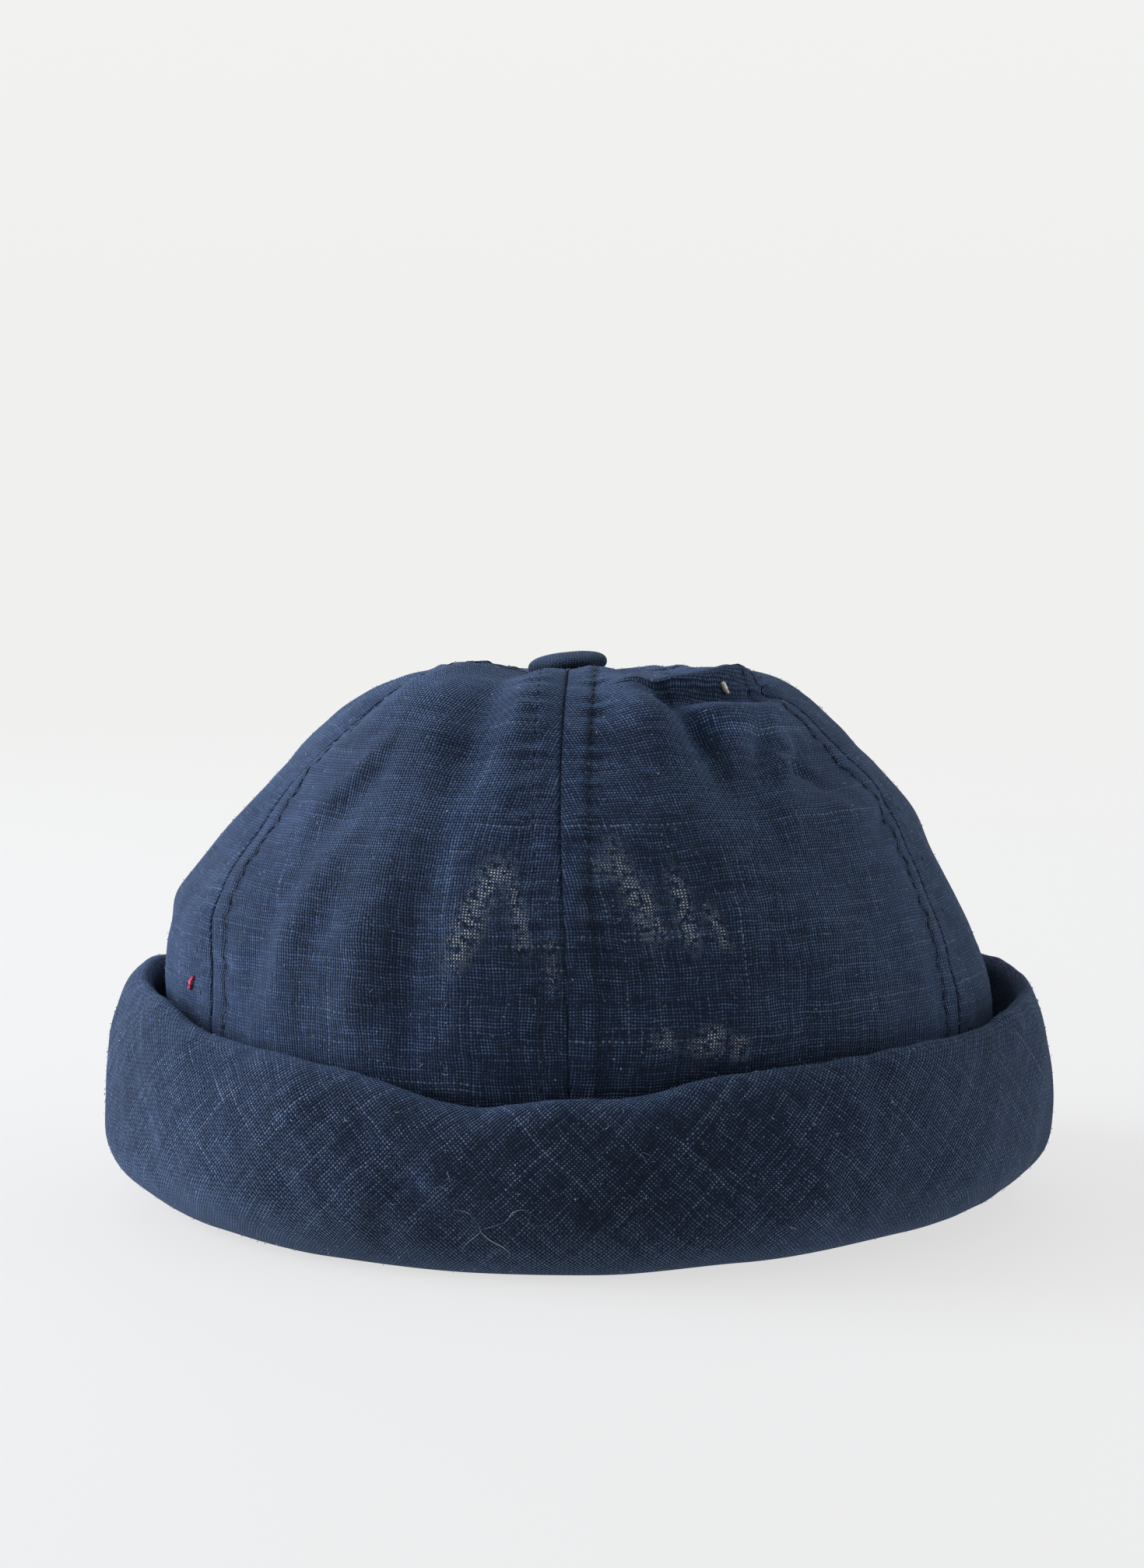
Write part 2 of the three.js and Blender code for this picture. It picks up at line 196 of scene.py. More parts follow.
camera = {
    "distance": 900, "height": 178, "pitch": 5.63, "aside": -1.4, "focalPixels": 5274, "photoHeight": 2014,
    "sensorWidth": 36, "farEnd": 50000,
}
studio = {
    "floorColour": "#626261", "floorGlow": 0.675, "floorRadius": 3000, "floorSides": 96, "floorFade": (350, 1500),
    "backdropLow": "#f0f1ef", "backdropHigh": "#f2f2f0", "backdropRise": 0.1, "sky": "#fafaf9", "ambient": 0.02,
    # Axis of each lobe of light, where along it the lobe starts and is full, and its strength
    "lobes": [("Z", 0.2, 1.0, 0.54), ("X", -0.55, -1.0, 4.3), ("X", 0.6, 1.0, 2.25), ("Y", 0.1, 0.9, 0.9)],
    "windowPower": 42.0, "windowColour": "#dfe9ff", "windowSize": 1000, "windowPlace": (-1500, 380, 600),
    "windowAim": (0, 0, 50),
}


def buildCamera():
    lens = bpy.data.cameras.new("camera")
    lens.sensor_width = camera["sensorWidth"]
    lens.lens = lens.sensor_width * camera["focalPixels"] / camera["photoHeight"]
    lens.clip_end = camera["farEnd"] * millimetre
    eye = addObject("camera", lens)
    eye.location = np.array([camera["aside"], -camera["distance"], camera["height"]]) * millimetre
    eye.rotation_euler = (np.radians(90 - camera["pitch"]), 0, 0)
    bpy.context.scene.camera = eye


def buildFloor():
    # A flat disc that fades into the backdrop with its distance from the cap
    turn = np.linspace(0, 2 * np.pi, studio["floorSides"], endpoint=False)
    rim = np.stack([np.cos(turn), np.sin(turn), 0 * turn], -1) * studio["floorRadius"]
    mesh = bpy.data.meshes.new("floor")
    mesh.from_pydata((rim * millimetre).tolist(), [], [list(range(studio["floorSides"]))])
    floor = addObject("floor", mesh)
    # Matte studio paint is even and soft, without a gloss
    paint, tree, shader = newMaterial("matte painted studio floor", 0.75, 0.2)
    shader.inputs["Base Color"].default_value = linear(studio["floorColour"])
    shader.inputs["Emission Color"].default_value = linear("#ffffff")
    shader.inputs["Emission Strength"].default_value = studio["floorGlow"]
    place = addNode(tree, "ShaderNodeTexCoord", take="Object")
    away = addNode(tree, "ShaderNodeVectorMath", {0: place}, take="Value", operation="LENGTH")
    near, far = studio["floorFade"]
    gone = addNode(tree, "ShaderNodeMapRange", {
        "Value": away, "From Min": near * millimetre, "From Max": far * millimetre,
    }, interpolation_type="SMOOTHSTEP")
    clear = addNode(tree, "ShaderNodeBsdfTransparent")
    faded = addNode(tree, "ShaderNodeMixShader", {0: gone, 1: shader.outputs[0], 2: clear})
    tree.links.new(faded, tree.nodes["Material Output"].inputs["Surface"])
    mesh.materials.append(paint)


def buildLight():
    # The room is brightest to the left, less so to the right, dim overhead and behind, and dark in front.
    # What the camera sees of it is a plain pale backdrop that grows a little lighter upwards
    scene = bpy.context.scene
    scene.view_settings.view_transform = "Standard"
    scene.view_settings.look = "None"
    world = bpy.data.worlds.new("studio")
    scene.world = world
    world.use_nodes = True
    tree = world.node_tree
    tree.nodes.clear()
    direction = addNode(tree, "ShaderNodeTexCoord", take="Generated")
    axes = addNode(tree, "ShaderNodeSeparateXYZ", {0: direction}, take="X").node.outputs
    strength = studio["ambient"]
    for axis, start, full, most in studio["lobes"]:
        lobe = addNode(tree, "ShaderNodeMapRange", {
            "Value": axes[axis], "From Min": start, "From Max": full, "To Max": most,
        }, interpolation_type="SMOOTHSTEP")
        strength = addNode(tree, "ShaderNodeMath", {0: strength, 1: lobe}, operation="ADD")
    light = addNode(tree, "ShaderNodeBackground", {"Color": linear(studio["sky"]), "Strength": strength})
    rise = addNode(tree, "ShaderNodeMapRange", {
        "Value": axes["Z"], "From Min": 0.0, "From Max": studio["backdropRise"],
    })
    colour = addNode(tree, "ShaderNodeMix", {
        "Factor": rise, colourA: linear(studio["backdropLow"]), colourB: linear(studio["backdropHigh"]),
    }, **ofColours)
    backdrop = addNode(tree, "ShaderNodeBackground", {"Color": colour, "Strength": 1.0})
    seen = addNode(tree, "ShaderNodeLightPath", take="Is Camera Ray")
    mixed = addNode(tree, "ShaderNodeMixShader", {0: seen, 1: light, 2: backdrop})
    tree.links.new(mixed, tree.nodes.new("ShaderNodeOutputWorld").inputs["Surface"])

    window = bpy.data.lights.new("window", "AREA")
    window.size = studio["windowSize"] * millimetre
    window.energy = studio["windowPower"]
    window.color = linear(studio["windowColour"])[:3]
    lamp = addObject("window", window)
    place = np.array(studio["windowPlace"]) * millimetre
    lamp.location = place
    towards = Vector(np.array(studio["windowAim"]) * millimetre - place)
    lamp.rotation_euler = towards.to_track_quat("-Z", "Y").to_euler()


buildCamera()
buildFloor()
buildLight()
print("studio: camera, floor and light are set")


# Washed linen. A plain weave of unevenly spun yarn: matte, with painted shade in the gaps between round threads
# and a painted highlight on their tops, thick and thin slubs along each thread, pale flecks of fibre, pale dots
# of painted light through thin places and a faint nap that catches light at the edges. It is drawn as a coarse
# cloth, about 15 threads to the cm, as a finer one doesn't show at 6 pixels to the mm.

linen = {
    "threadPitch": 0.65, "slubLength": 5.5, "wander": 1.6, "wanderScale": 0.12,
    "threadStride": 7.31, "weftStride": 31.7,
    # The gaps' colour is painted shade, the threads' tops' colour a painted highlight, and the pale dots are painted
    # light through thin weave
    "warp": ("#111f35", "#223452"), "weft": ("#122038", "#243758"), "gapShade": "#060b15", "threadTopHighlight": "#6c84ad",
    "fleck": "#8a9bb4", "pinholeLight": "#dde4e8", "nap": "#7c9ccb",
    "dyeShare": 0.12, "plump": (0.72, 1.12), "paleChance": (0.54, 0.64), "paleMost": 0.3,
    "washScale": 0.045, "wash": (0.82, 1.2), "fleckScale": 1.15, "fleckChance": (0.69, 0.8),
    "holeChance": (0.42, 0.54), "lumpScale": 0.5, "lumpShare": 0.8, "relief": 1.0, "reliefDepth": 0.24,
    "gapShadeDepth": 0.9, "topHighlight": 0.9, "flecks": 0.6,
    "roughness": 0.93, "specular": 0.18, "sheen": 0.66, "sheenRoughness": 0.36,
}


def linenMaterial(name, look):
    # Each thread's round back is |sin|, a checkerboard says which one lies on top, and noise that is long
    # along a thread and as wide as one thread makes the slubs. A thread runs pale where its own chance times
    # a slower noise is high. The strides set threads, and warp and weft, apart in the noise
    material, tree, shader = newMaterial(name, look["roughness"], look["specular"])
    grain = addNode(tree, "ShaderNodeUVMap", uv_map="grain")
    inMillimetres = addNode(tree, "ShaderNodeVectorMath", {0: grain, "Scale": uvSpan}, operation="SCALE")
    sway = addNode(tree, "ShaderNodeTexNoise", {
        "Vector": inMillimetres, "Scale": look["wanderScale"], "Detail": 2.0,
    }, take="Color")
    swayed = addNode(tree, "ShaderNodeVectorMath", {
        0: sway, 1: (look["wander"], look["wander"], 0.0), 2: inMillimetres,
    }, operation="MULTIPLY_ADD")
    perThread = 1 / look["threadPitch"]
    threads = addNode(tree, "ShaderNodeVectorMath", {0: swayed, "Scale": perThread}, operation="SCALE")
    axes = addNode(tree, "ShaderNodeSeparateXYZ", {0: threads}, take="X").node.outputs
    number = addNode(tree, "ShaderNodeVectorMath", {0: threads}, operation="FLOOR")
    numbers = addNode(tree, "ShaderNodeSeparateXYZ", {0: number}, take="X").node.outputs

    backs, slubs, pales = [], [], []
    perSlub = look["threadPitch"] / look["slubLength"]
    for along, across, away in (("Y", "X", 0.0), ("X", "Y", look["weftStride"])):
        turned = addNode(tree, "ShaderNodeMath", {0: axes[across], 1: np.pi}, operation="MULTIPLY")
        wave = addNode(tree, "ShaderNodeMath", {0: turned}, operation="SINE")
        back = addNode(tree, "ShaderNodeMath", {0: wave}, operation="ABSOLUTE")
        lengthwise = addNode(tree, "ShaderNodeMath", {0: axes[along], 1: perSlub}, operation="MULTIPLY")
        apart = addNode(tree, "ShaderNodeMath", {0: numbers[across], 1: look["threadStride"]}, operation="MULTIPLY")
        place = addNode(tree, "ShaderNodeCombineXYZ", {"X": lengthwise, "Y": apart, "Z": away})
        spun = addNode(tree, "ShaderNodeTexNoise", {"Vector": place, "Scale": 1.0, "Detail": 3.0, "Roughness": 0.65})
        dyed = addNode(tree, "ShaderNodeTexWhiteNoise", {"W": apart}, noise_dimensions="1D")
        slub = addNode(tree, "ShaderNodeMix", {
            "Factor": look["dyeShare"], numberA: spun, numberB: dyed,
        }, data_type="FLOAT")
        slubs.append(slub)
        slow = addNode(tree, "ShaderNodeVectorMath", {0: place, 1: (0.2, 1.0, 1.0)}, operation="MULTIPLY")
        stretch = addNode(tree, "ShaderNodeTexNoise", {"Vector": slow, "Scale": 1.0, "Detail": 1.0})
        odd = addNode(tree, "ShaderNodeMath", {0: dyed, 1: stretch}, operation="MULTIPLY")
        pales.append(addNode(tree, "ShaderNodeMapRange", {
            "Value": odd, "From Min": look["paleChance"][0], "From Max": look["paleChance"][1],
            "To Max": look["paleMost"],
        }))
        plump = addNode(tree, "ShaderNodeMapRange", {
            "Value": slub, "From Min": 0.3, "From Max": 0.7, "To Min": look["plump"][0], "To Max": look["plump"][1],
        })
        backs.append(addNode(tree, "ShaderNodeMath", {0: back, 1: plump}, operation="MULTIPLY"))

    cell = addNode(tree, "ShaderNodeMath", {0: numbers["X"], 1: numbers["Y"]}, operation="ADD")
    weftOnTop = addNode(tree, "ShaderNodeMath", {0: cell, 1: 2.0}, operation="FLOORED_MODULO")
    top = addNode(tree, "ShaderNodeMix", {
        "Factor": weftOnTop, numberA: backs[0], numberB: backs[1],
    }, data_type="FLOAT")
    crossing = addNode(tree, "ShaderNodeMath", {0: backs[0], 1: backs[1]}, operation="MULTIPLY")
    height = addNode(tree, "ShaderNodeMath", {0: top, 1: 0.5, 2: crossing}, operation="MULTIPLY_ADD")

    yarns = []
    for slub, pale, (dark, light) in zip(slubs, pales, (look["warp"], look["weft"])):
        shade = addNode(tree, "ShaderNodeMapRange", {"Value": slub, "From Min": 0.32, "From Max": 0.72})
        yarn = addNode(tree, "ShaderNodeMix", {
            "Factor": shade, colourA: linear(dark), colourB: linear(light),
        }, **ofColours)
        yarns.append(addNode(tree, "ShaderNodeMix", {
            "Factor": pale, colourA: yarn, colourB: linear(look["fleck"]),
        }, **ofColours))
    # From the yarn's dye down to painted shade in the gaps between threads and up to a painted highlight on the
    # threads' tops
    colour = addNode(tree, "ShaderNodeMix", {
        "Factor": weftOnTop, colourA: yarns[0], colourB: yarns[1],
    }, **ofColours)
    depth = addNode(tree, "ShaderNodeMapRange", {
        "Value": height, "From Min": 0.15, "From Max": 1.0, "To Min": look["gapShadeDepth"], "To Max": 0.0,
    })
    ridge = addNode(tree, "ShaderNodeMapRange", {
        "Value": height, "From Min": 1.1, "From Max": 1.6, "To Max": look["topHighlight"],
    })
    for share, shade in ((depth, look["gapShade"]), (ridge, look["threadTopHighlight"])):
        colour = addNode(tree, "ShaderNodeMix", {
            "Factor": share, colourA: colour, colourB: linear(shade),
        }, **ofColours)

    wash = addNode(tree, "ShaderNodeTexNoise", {
        "Vector": inMillimetres, "Scale": look["washScale"], "Detail": 4.0, "Roughness": 0.6,
    })
    faded = addNode(tree, "ShaderNodeMapRange", {
        "Value": wash, "From Min": 0.3, "From Max": 0.7, "To Min": look["wash"][0], "To Max": look["wash"][1],
    })
    # Wear with painted light and painted shade, from each piece's attribute, scales the colour along with the wash's
    # fading
    wearLightAndShade = addNode(tree, "ShaderNodeAttribute", attribute_name="wearLightAndShade", take="Fac")
    fadeWearLightAndShade = addNode(tree, "ShaderNodeMath", {0: wearLightAndShade, 1: faded}, operation="ADD")
    fadedWornLitAndShaded = addNode(tree, "ShaderNodeVectorMath", {0: colour, "Scale": fadeWearLightAndShade}, operation="SCALE")

    speck = addNode(tree, "ShaderNodeTexNoise", {
        "Vector": inMillimetres, "Scale": look["fleckScale"], "Detail": 2.0, "Roughness": 0.7,
    })
    fleck = addNode(tree, "ShaderNodeMapRange", {
        "Value": speck, "From Min": look["fleckChance"][0], "From Max": look["fleckChance"][1],
        "To Max": look["flecks"],
    })
    # Pale dots of painted light, where light would shine through gaps in the thin weave
    thin = addNode(tree, "ShaderNodeAttribute", attribute_name="lightThroughWeave", take="Fac")
    corner = addNode(tree, "ShaderNodeMath", {0: backs[0], 1: backs[1]}, operation="MAXIMUM")
    gapHere = addNode(tree, "ShaderNodeMapRange", {"Value": corner, "From Min": 0.72, "From Max": 0.5})
    scatter = addNode(tree, "ShaderNodeTexNoise", {"Vector": threads, "Scale": 0.42, "Detail": 1.0})
    chance = addNode(tree, "ShaderNodeMapRange", {
        "Value": scatter, "From Min": look["holeChance"][0], "From Max": look["holeChance"][1],
    })
    hole = addNode(tree, "ShaderNodeMath", {0: gapHere, 1: chance}, operation="MULTIPLY")
    lightDots = addNode(tree, "ShaderNodeMath", {0: hole, 1: thin}, operation="MULTIPLY")
    colour = fadedWornLitAndShaded
    for share, shade in ((fleck, look["fleck"]), (lightDots, look["pinholeLight"])):
        colour = addNode(tree, "ShaderNodeMix", {
            "Factor": share, colourA: colour, colourB: linear(shade),
        }, **ofColours)

    lumps = addNode(tree, "ShaderNodeTexNoise", {"Vector": inMillimetres, "Scale": look["lumpScale"], "Detail": 3.0})
    surface = addNode(tree, "ShaderNodeMath", {0: lumps, 1: look["lumpShare"], 2: height}, operation="MULTIPLY_ADD")
    raised = addNode(tree, "ShaderNodeBump", {
        "Height": surface, "Strength": look["relief"], "Distance": look["reliefDepth"] * millimetre,
    })
    tree.links.new(colour, shader.inputs["Base Color"])
    tree.links.new(raised, shader.inputs["Normal"])
    shader.inputs["Sheen Weight"].default_value = look["sheen"]
    shader.inputs["Sheen Roughness"].default_value = look["sheenRoughness"]
    shader.inputs["Sheen Tint"].default_value = linear(look["nap"])
    return material


def threadMaterial(name, colourHex, roughness=0.6):
    # Spun thread: fine twisted plies give a soft satin and slanting shade
    material, tree, shader = newMaterial(name, roughness, 0.15)
    place = addNode(tree, "ShaderNodeTexCoord", take="Object")
    plies = addNode(tree, "ShaderNodeTexNoise", {"Vector": place, "Scale": 2600.0, "Detail": 2.0})
    shade = addNode(tree, "ShaderNodeMapRange", {
        "Value": plies, "From Min": 0.3, "From Max": 0.7, "To Min": 0.7, "To Max": 1.25,
    })
    colour = addNode(tree, "ShaderNodeVectorMath", {0: linear(colourHex)[:3], "Scale": shade}, operation="SCALE")
    tree.links.new(colour, shader.inputs["Base Color"])
    return material


# The crown: sections and seams as in the part's source, but for the front seam, which lies 0 to 1.5 degrees
# nearer to its line in the photograph, and for the folds, which only follow the source's loosely

crown = {
    "radius": 91, "height": 115, "cloth": 1.0, "allowance": 0.8, "bulge": 1.4, "hem": 12, "lap": 15,
    "poleShift": -2.1, "ridgeRadius": 28, "ridgeSink": 2.6,
    "rows": 210, "middleColumns": 56, "hiddenShare": 0.14, "poleRows": 6, "uvStep": 130,
    "edge": [0.0, 0.16, 0.34, 0.6, 1.0, 1.6, 2.4, 3.3, 4.2, 4.9, 5.4, 5.8, 6.2, 6.8, 7.7, 9.0],
    "edgeShare": 0.4, "goreSpan": 58, "stripRise": 0.52, "seamRound": 0.8, "allowanceEdge": (6.2, 6.8),
    "stitchAt": 5.7, "stitchSink": 0.27, "stitchWidth": 0.75, "insideRelief": 0.7,
    "pucker": 0.24, "puckerWidth": 3.2, "puckerPitch": 7.3, "puckerFine": 4.1, "puckerSway": 9.1,
    # Size, shortest and longest length and seed of the soft waves
    "waves": [(0.34, 20, 55, 3), (0.12, 7, 18, 4)],
    "heights": [0.104, 0.243, 0.391, 0.522, 0.626, 0.739, 0.852, 0.93, 0.978, 0.997, 0.988, 0.974],
    "front": [0.989, 0.992, 0.998, 0.965, 0.912, 0.818, 0.69, 0.58, 0.44, 0.3, 0.16, 0.035],
    "right": [0.989, 0.994, 0.993, 0.938, 0.872, 0.81, 0.694, 0.585, 0.48, 0.34, 0.165, 0.035],
    "back": [0.989, 0.993, 0.998, 0.957, 0.902, 0.808, 0.684, 0.563, 0.45, 0.31, 0.16, 0.035],
    "left": [0.989, 0.99, 0.99, 0.982, 0.906, 0.775, 0.637, 0.515, 0.385, 0.27, 0.155, 0.035],
}

seams = [
    {"gore": "front_right", "azimuths": [-1, -1.5, -1.9, -0.6, 0.5]},
    {"gore": "right", "azimuths": [59, 64.5, 69.5, 66, 62]},
    {"gore": "back_right", "azimuths": [120, 119, 117, 120, 121]},
    {"gore": "back_left", "azimuths": [180, 181, 182, 180, 179]},
    {"gore": "left", "azimuths": [240, 242, 243, 240, 239]},
    {"gore": "front_left", "azimuths": [302, 300, 292.5, 292, 299]},
]

# Azimuth, height share, turn (0 runs round, 90 runs up), length, width and depth in mm.
# The first ones are the large folds, set near the source's, and the rest are finer creases.
folds = [
    (-48, 0.965, 86, 23.7, 8.5, 2.3), (-20, 0.91, 92, 28, 5.5, -2.4), (17, 0.93, 92, 23.7, 6.3, 2.3),
    (-36, 0.94, 88, 24, 6, 1.3), (-34, 0.997, 90, 16, 8, -3.0), (44, 0.992, 90, 14, 17, -2.4),
    (45, 0.955, 2, 19, 5, -0.9), (62, 0.985, 20, 16.4, 7.3, 2.07), (58, 0.77, 6, 21.8, 6.4, 1.84),
    (50, 0.84, 14, 21.8, 7.3, -1.5), (-88, 0.565, 0, 45.5, 4.6, 0.69), (-45, 0.74, 60, 14.6, 8.2, -1.15),
    (162, 0.9, 88, 30.9, 9.1, -2.3), (205, 0.88, 96, 27.3, 10, 1.38), (135, 0.7, -8, 23.7, 8.2, -1.61),
    (42, 0.925, 4, 18, 4, 1.9), (26, 0.92, 97, 15, 3.0, -1.8), (-11, 0.93, 84, 18, 4, 0.7),
    (-38, 0.84, 76, 12, 3.5, -0.8), (-66, 0.9, 80, 14, 7, -1.7), (88, 0.8, 0, 22, 11, -1.2),
    (-85, 0.74, 0, 22, 11, 1.0), (-88, 0.52, 0, 22, 6, -0.9),
    (-44, 0.82, 62, 13, 3, 0.7), (28, 0.86, 100, 16, 4, -1.0), (41, 0.87, 50, 10, 2.6, -1.7),
    (45, 0.84, 52, 9, 2.6, 1.2), (49, 0.835, 128, 8, 2.2, -1.3), (53, 0.8, 16, 12, 3, -1.1),
    (63, 0.735, 24, 12, 2.6, -0.9), (34, 0.78, 66, 16, 5, -0.9), (12, 0.6, 84, 22, 6, -0.8),
    (24, 0.55, 92, 20, 6, 0.6), (-16, 0.6, 92, 24, 4, 0.8), (-22.5, 0.53, 90, 26, 4, -1.1),
    (-30, 0.5, 88, 24, 4.5, 0.8), (-37, 0.6, 84, 20, 4, -0.8), (-43, 0.56, 82, 18, 4, 0.6),
    (-49, 0.48, 80, 18, 4.5, -0.7),
    (34, 0.46, 12, 18, 5, -0.5), (-75, 0.5, 80, 16, 4, -0.5), (-80, 0.72, 70, 14, 4, 0.6),
    (78, 0.6, 84, 18, 5, 0.6), (84, 0.52, 78, 16, 4, -0.6), (105, 0.72, 96, 22, 6, 0.8),
    (148, 0.55, 84, 24, 6, -0.7), (190, 0.6, 92, 24, 5, 0.6), (222, 0.7, 82, 20, 6, -0.8),
    (255, 0.85, 88, 20, 6, 0.8), (232, 0.5, 10, 20, 5, -0.6), (268, 0.62, 96, 16, 5, -0.5),
]

# Azimuth, height share, turn, half length, half width and half height in mm of each tuck: a steep step in
# the cloth with a valley below it and a crest above
tucks = [(45, 0.966, 2, 20, 3.0, 2.6), (47, 0.845, 40, 8, 1.8, 0.6)]


def crownProfile(azimuth, rise):
    # Radius and height before the folds: smooth columns blended round by squared cosine and sine, with the
    # ridge round the button sinking to the back
    turn = np.radians(azimuth)
    forward, sideways = np.cos(turn), np.sin(turn)
    frontBack = np.where(forward > 0, throughValues(crown["front"], rise), throughValues(crown["back"], rise))
    leftRight = np.where(sideways > 0, throughValues(crown["right"], rise), throughValues(crown["left"], rise))
    radius = crown["radius"] * (frontBack * forward ** 2 + leftRight * sideways ** 2)
    level = crown["height"] * throughValues(crown["heights"], rise)
    nearTop = smoothStep(level, crown["height"] * 0.6, crown["height"])
    sink = crown["ridgeSink"] * nearTop * np.minimum(1, radius / crown["ridgeRadius"]) * forward
    return radius, level + sink


def crownNormal(azimuth, rise):
    # Outward unit vector of the profile in its upright plane, from two points a short way apart
    step = 0.01
    highRadius, high = crownProfile(azimuth, np.minimum(rise + step, 1))
    lowRadius, low = crownProfile(azimuth, np.maximum(rise - step, 0))
    outward, upward = high - low, lowRadius - highRadius
    size = np.hypot(outward, upward)
    return outward / size, upward / size


def riseAtHeight(share):
    # Share of the way up the sections, as far as the highest one: the last two dip to the button
    return float(np.interp(share, crown["heights"][:10], np.arange(10) / (len(crown["heights"]) - 1)))


def foldAxes(azimuth, rise, radius, height, fold):
    # How far each point lies along and aside of a fold, in its lengths and widths
    foldAzimuth, foldHeight, turn, length, width, _ = fold
    foldRise = riseAtHeight(foldHeight)
    middleRadius, middle = crownProfile(foldAzimuth, foldRise)
    around = arcFrom(foldAzimuth, azimuth, radius + middleRadius) / 2
    up = np.sign(rise - foldRise) * np.hypot(radius - middleRadius, height - middle)
    cosine, sine = np.cos(np.radians(turn)), np.sin(np.radians(turn))
    return (around * cosine + up * sine) / length, (up * cosine - around * sine) / width


def foldDepth(azimuth, rise, radius, height):
    # Sum of Gaussian ridges and valleys, exp(-along² - aside²), and of tucks, whose step is
    # aside * exp(0.5 - aside² / 2), dying away as exp(-along⁴)
    depth = np.zeros(np.shape(radius))
    for fold in folds:
        along, aside = foldAxes(azimuth, rise, radius, height, fold)
        depth += fold[-1] * np.exp(-along ** 2 - aside ** 2)
    for tuck in tucks:
        along, aside = foldAxes(azimuth, rise, radius, height, tuck)
        depth += tuck[-1] * aside * np.exp(0.5 - aside ** 2 / 2 - along ** 4)
    return depth


def crownShift(height):
    return crown["poleShift"] * smoothStep(height, crown["height"] * 0.4, crown["height"])


def seamRelief(distance, along):
    # Across a seam: a round-edged groove, a raised strip over the pressed-open allowance, the row of
    # stitches sunk into it and short puckers beside that row
    groove = np.clip(1 - distance / crown["seamRound"], 0, 1)
    shape = -crown["seamRound"] * (1 - np.sqrt(1 - groove ** 2 * 0.98))
    shape += crown["stripRise"] * (1 - smoothStep(distance, crown["stitchAt"] - 0.5, crown["stitchAt"] + 1.3))
    shape -= crown["stitchSink"] * bump(distance, crown["stitchAt"], crown["stitchWidth"])
    ripple = np.sin(2 * np.pi * along / crown["puckerPitch"] + 1.7 * np.sin(along / crown["puckerSway"]))
    ripple = ripple + 0.6 * np.sin(2 * np.pi * along / crown["puckerFine"])
    shape += crown["pucker"] * ripple * bump(distance, crown["stitchAt"] + 0.6, crown["puckerWidth"])
    return shape


def riseLength(azimuth, rise):
    # Length of the way up to a rise, from the hem, at one azimuth
    steps = np.linspace(0, 1, 400)
    radius, height = crownProfile(azimuth, steps)
    length = np.concatenate([[0], np.cumsum(np.hypot(np.diff(radius), np.diff(height)))])
    return np.interp(rise, steps, length)


def crownPoint(azimuth, rise, seamDistance, shareBulge, inset=0):
    # Place of the cloth: profile, plus folds, bulge, ripples and seam relief along the profile's normal. It
    # lies smooth behind the cuff, where the crown laps the hem, and close to the pole
    radius, height = crownProfile(azimuth, rise)
    outward, upward = crownNormal(azimuth, rise)
    along = riseLength(0, rise)
    lapRise = riseAtHeight((crown["hem"] + crown["lap"]) / crown["height"])
    free = smoothStep(rise, lapRise, 2.5 * lapRise)
    soft = ripples(azimuth, radius, height, crown["waves"])
    depth = (foldDepth(azimuth, rise, radius, height) + shareBulge + soft) * free
    depth = depth + seamRelief(seamDistance, along) - inset
    depth = depth * (0.3 + 0.7 * smoothStep(radius, 3, 14))
    return radius + outward * depth, height + upward * depth


def goreGrid(leftSeam, rightSeam):
    # Azimuths, rises and distances from the nearer seam on one gore: columns crowd beside both seams
    rise = np.linspace(0, 1, crown["rows"])[:, None]
    left, right = throughValues(leftSeam, rise), throughValues(rightSeam, rise)
    radius, _ = crownProfile((left + right) / 2, rise)
    width = np.radians(right - left) * radius
    edge = np.array(crown["edge"])[None, :]
    squeeze = np.minimum(1, crown["edgeShare"] * width / edge[0, -1])
    nearLeft = edge * squeeze / width
    inner = np.linspace(0, 1, crown["middleColumns"] + 2)[None, 1:-1]
    start, end = nearLeft[:, -1:], 1 - nearLeft[:, -1:]
    middle = start + (end - start) * inner
    share = np.concatenate([nearLeft, middle, 1 - nearLeft[:, ::-1]], 1)
    fromSeam = np.minimum(share, 1 - share) * width / squeeze
    return left + (right - left) * share, rise + 0 * share, share, fromSeam, (left + right) / 2


# Azimuth, height, half width round, half height, slant in mm per mm, and strength of each thin patch, where pale
# dots of painted light show through the open weave
lightThroughPlaces = [
    (-14.1, 71, 2.6, 10, 0.33, 0.85), (-8.0, 71, 1.4, 7, -0.25, 0.6), (8.1, 75.5, 1.7, 9, -0.3, 0.75),
    (10.8, 72, 0.9, 6, -0.3, 0.8), (15.3, 71.5, 1.3, 7, -0.1, 0.9), (19.5, 68, 1.0, 4, -0.3, 0.8),
    (11.0, 46.3, 1.6, 2.6, 0.0, 0.6), (16.6, 46.2, 2.6, 2.8, 0.5, 0.9), (20.6, 44.6, 1.4, 2.4, 0.0, 0.7),
    (-11.5, 78.5, 3.2, 1.2, 0.0, 0.5), (-3.4, 62, 1.2, 6, 0.0, 0.25), (4.5, 80, 2.0, 2.4, 0.0, 0.45),
]

# Azimuth, height, half width, half height and strength of each broad place of painted shade, or of painted light
# where it is above nought
paintedLightAndShadePlaces = [
    (-36, 75, 15, 26, -0.28), (-50, 104, 16, 9, -0.22), (-16, 108, 12, 6, -0.18), (-12, 68, 8, 18, 0.12),
    (43, 106, 16, 5, 0.8),
]

# Distance from a seam, width and strength of its wear and painted shade: a pale worn edge, painted shade in the
# seam's groove and painted shade along the sunk row of stitches
seamWearAndShade = [(1.3, 0.9, 0.16), (0, 0.5, -0.25), (crown["stitchAt"], 0.6, -0.32)]


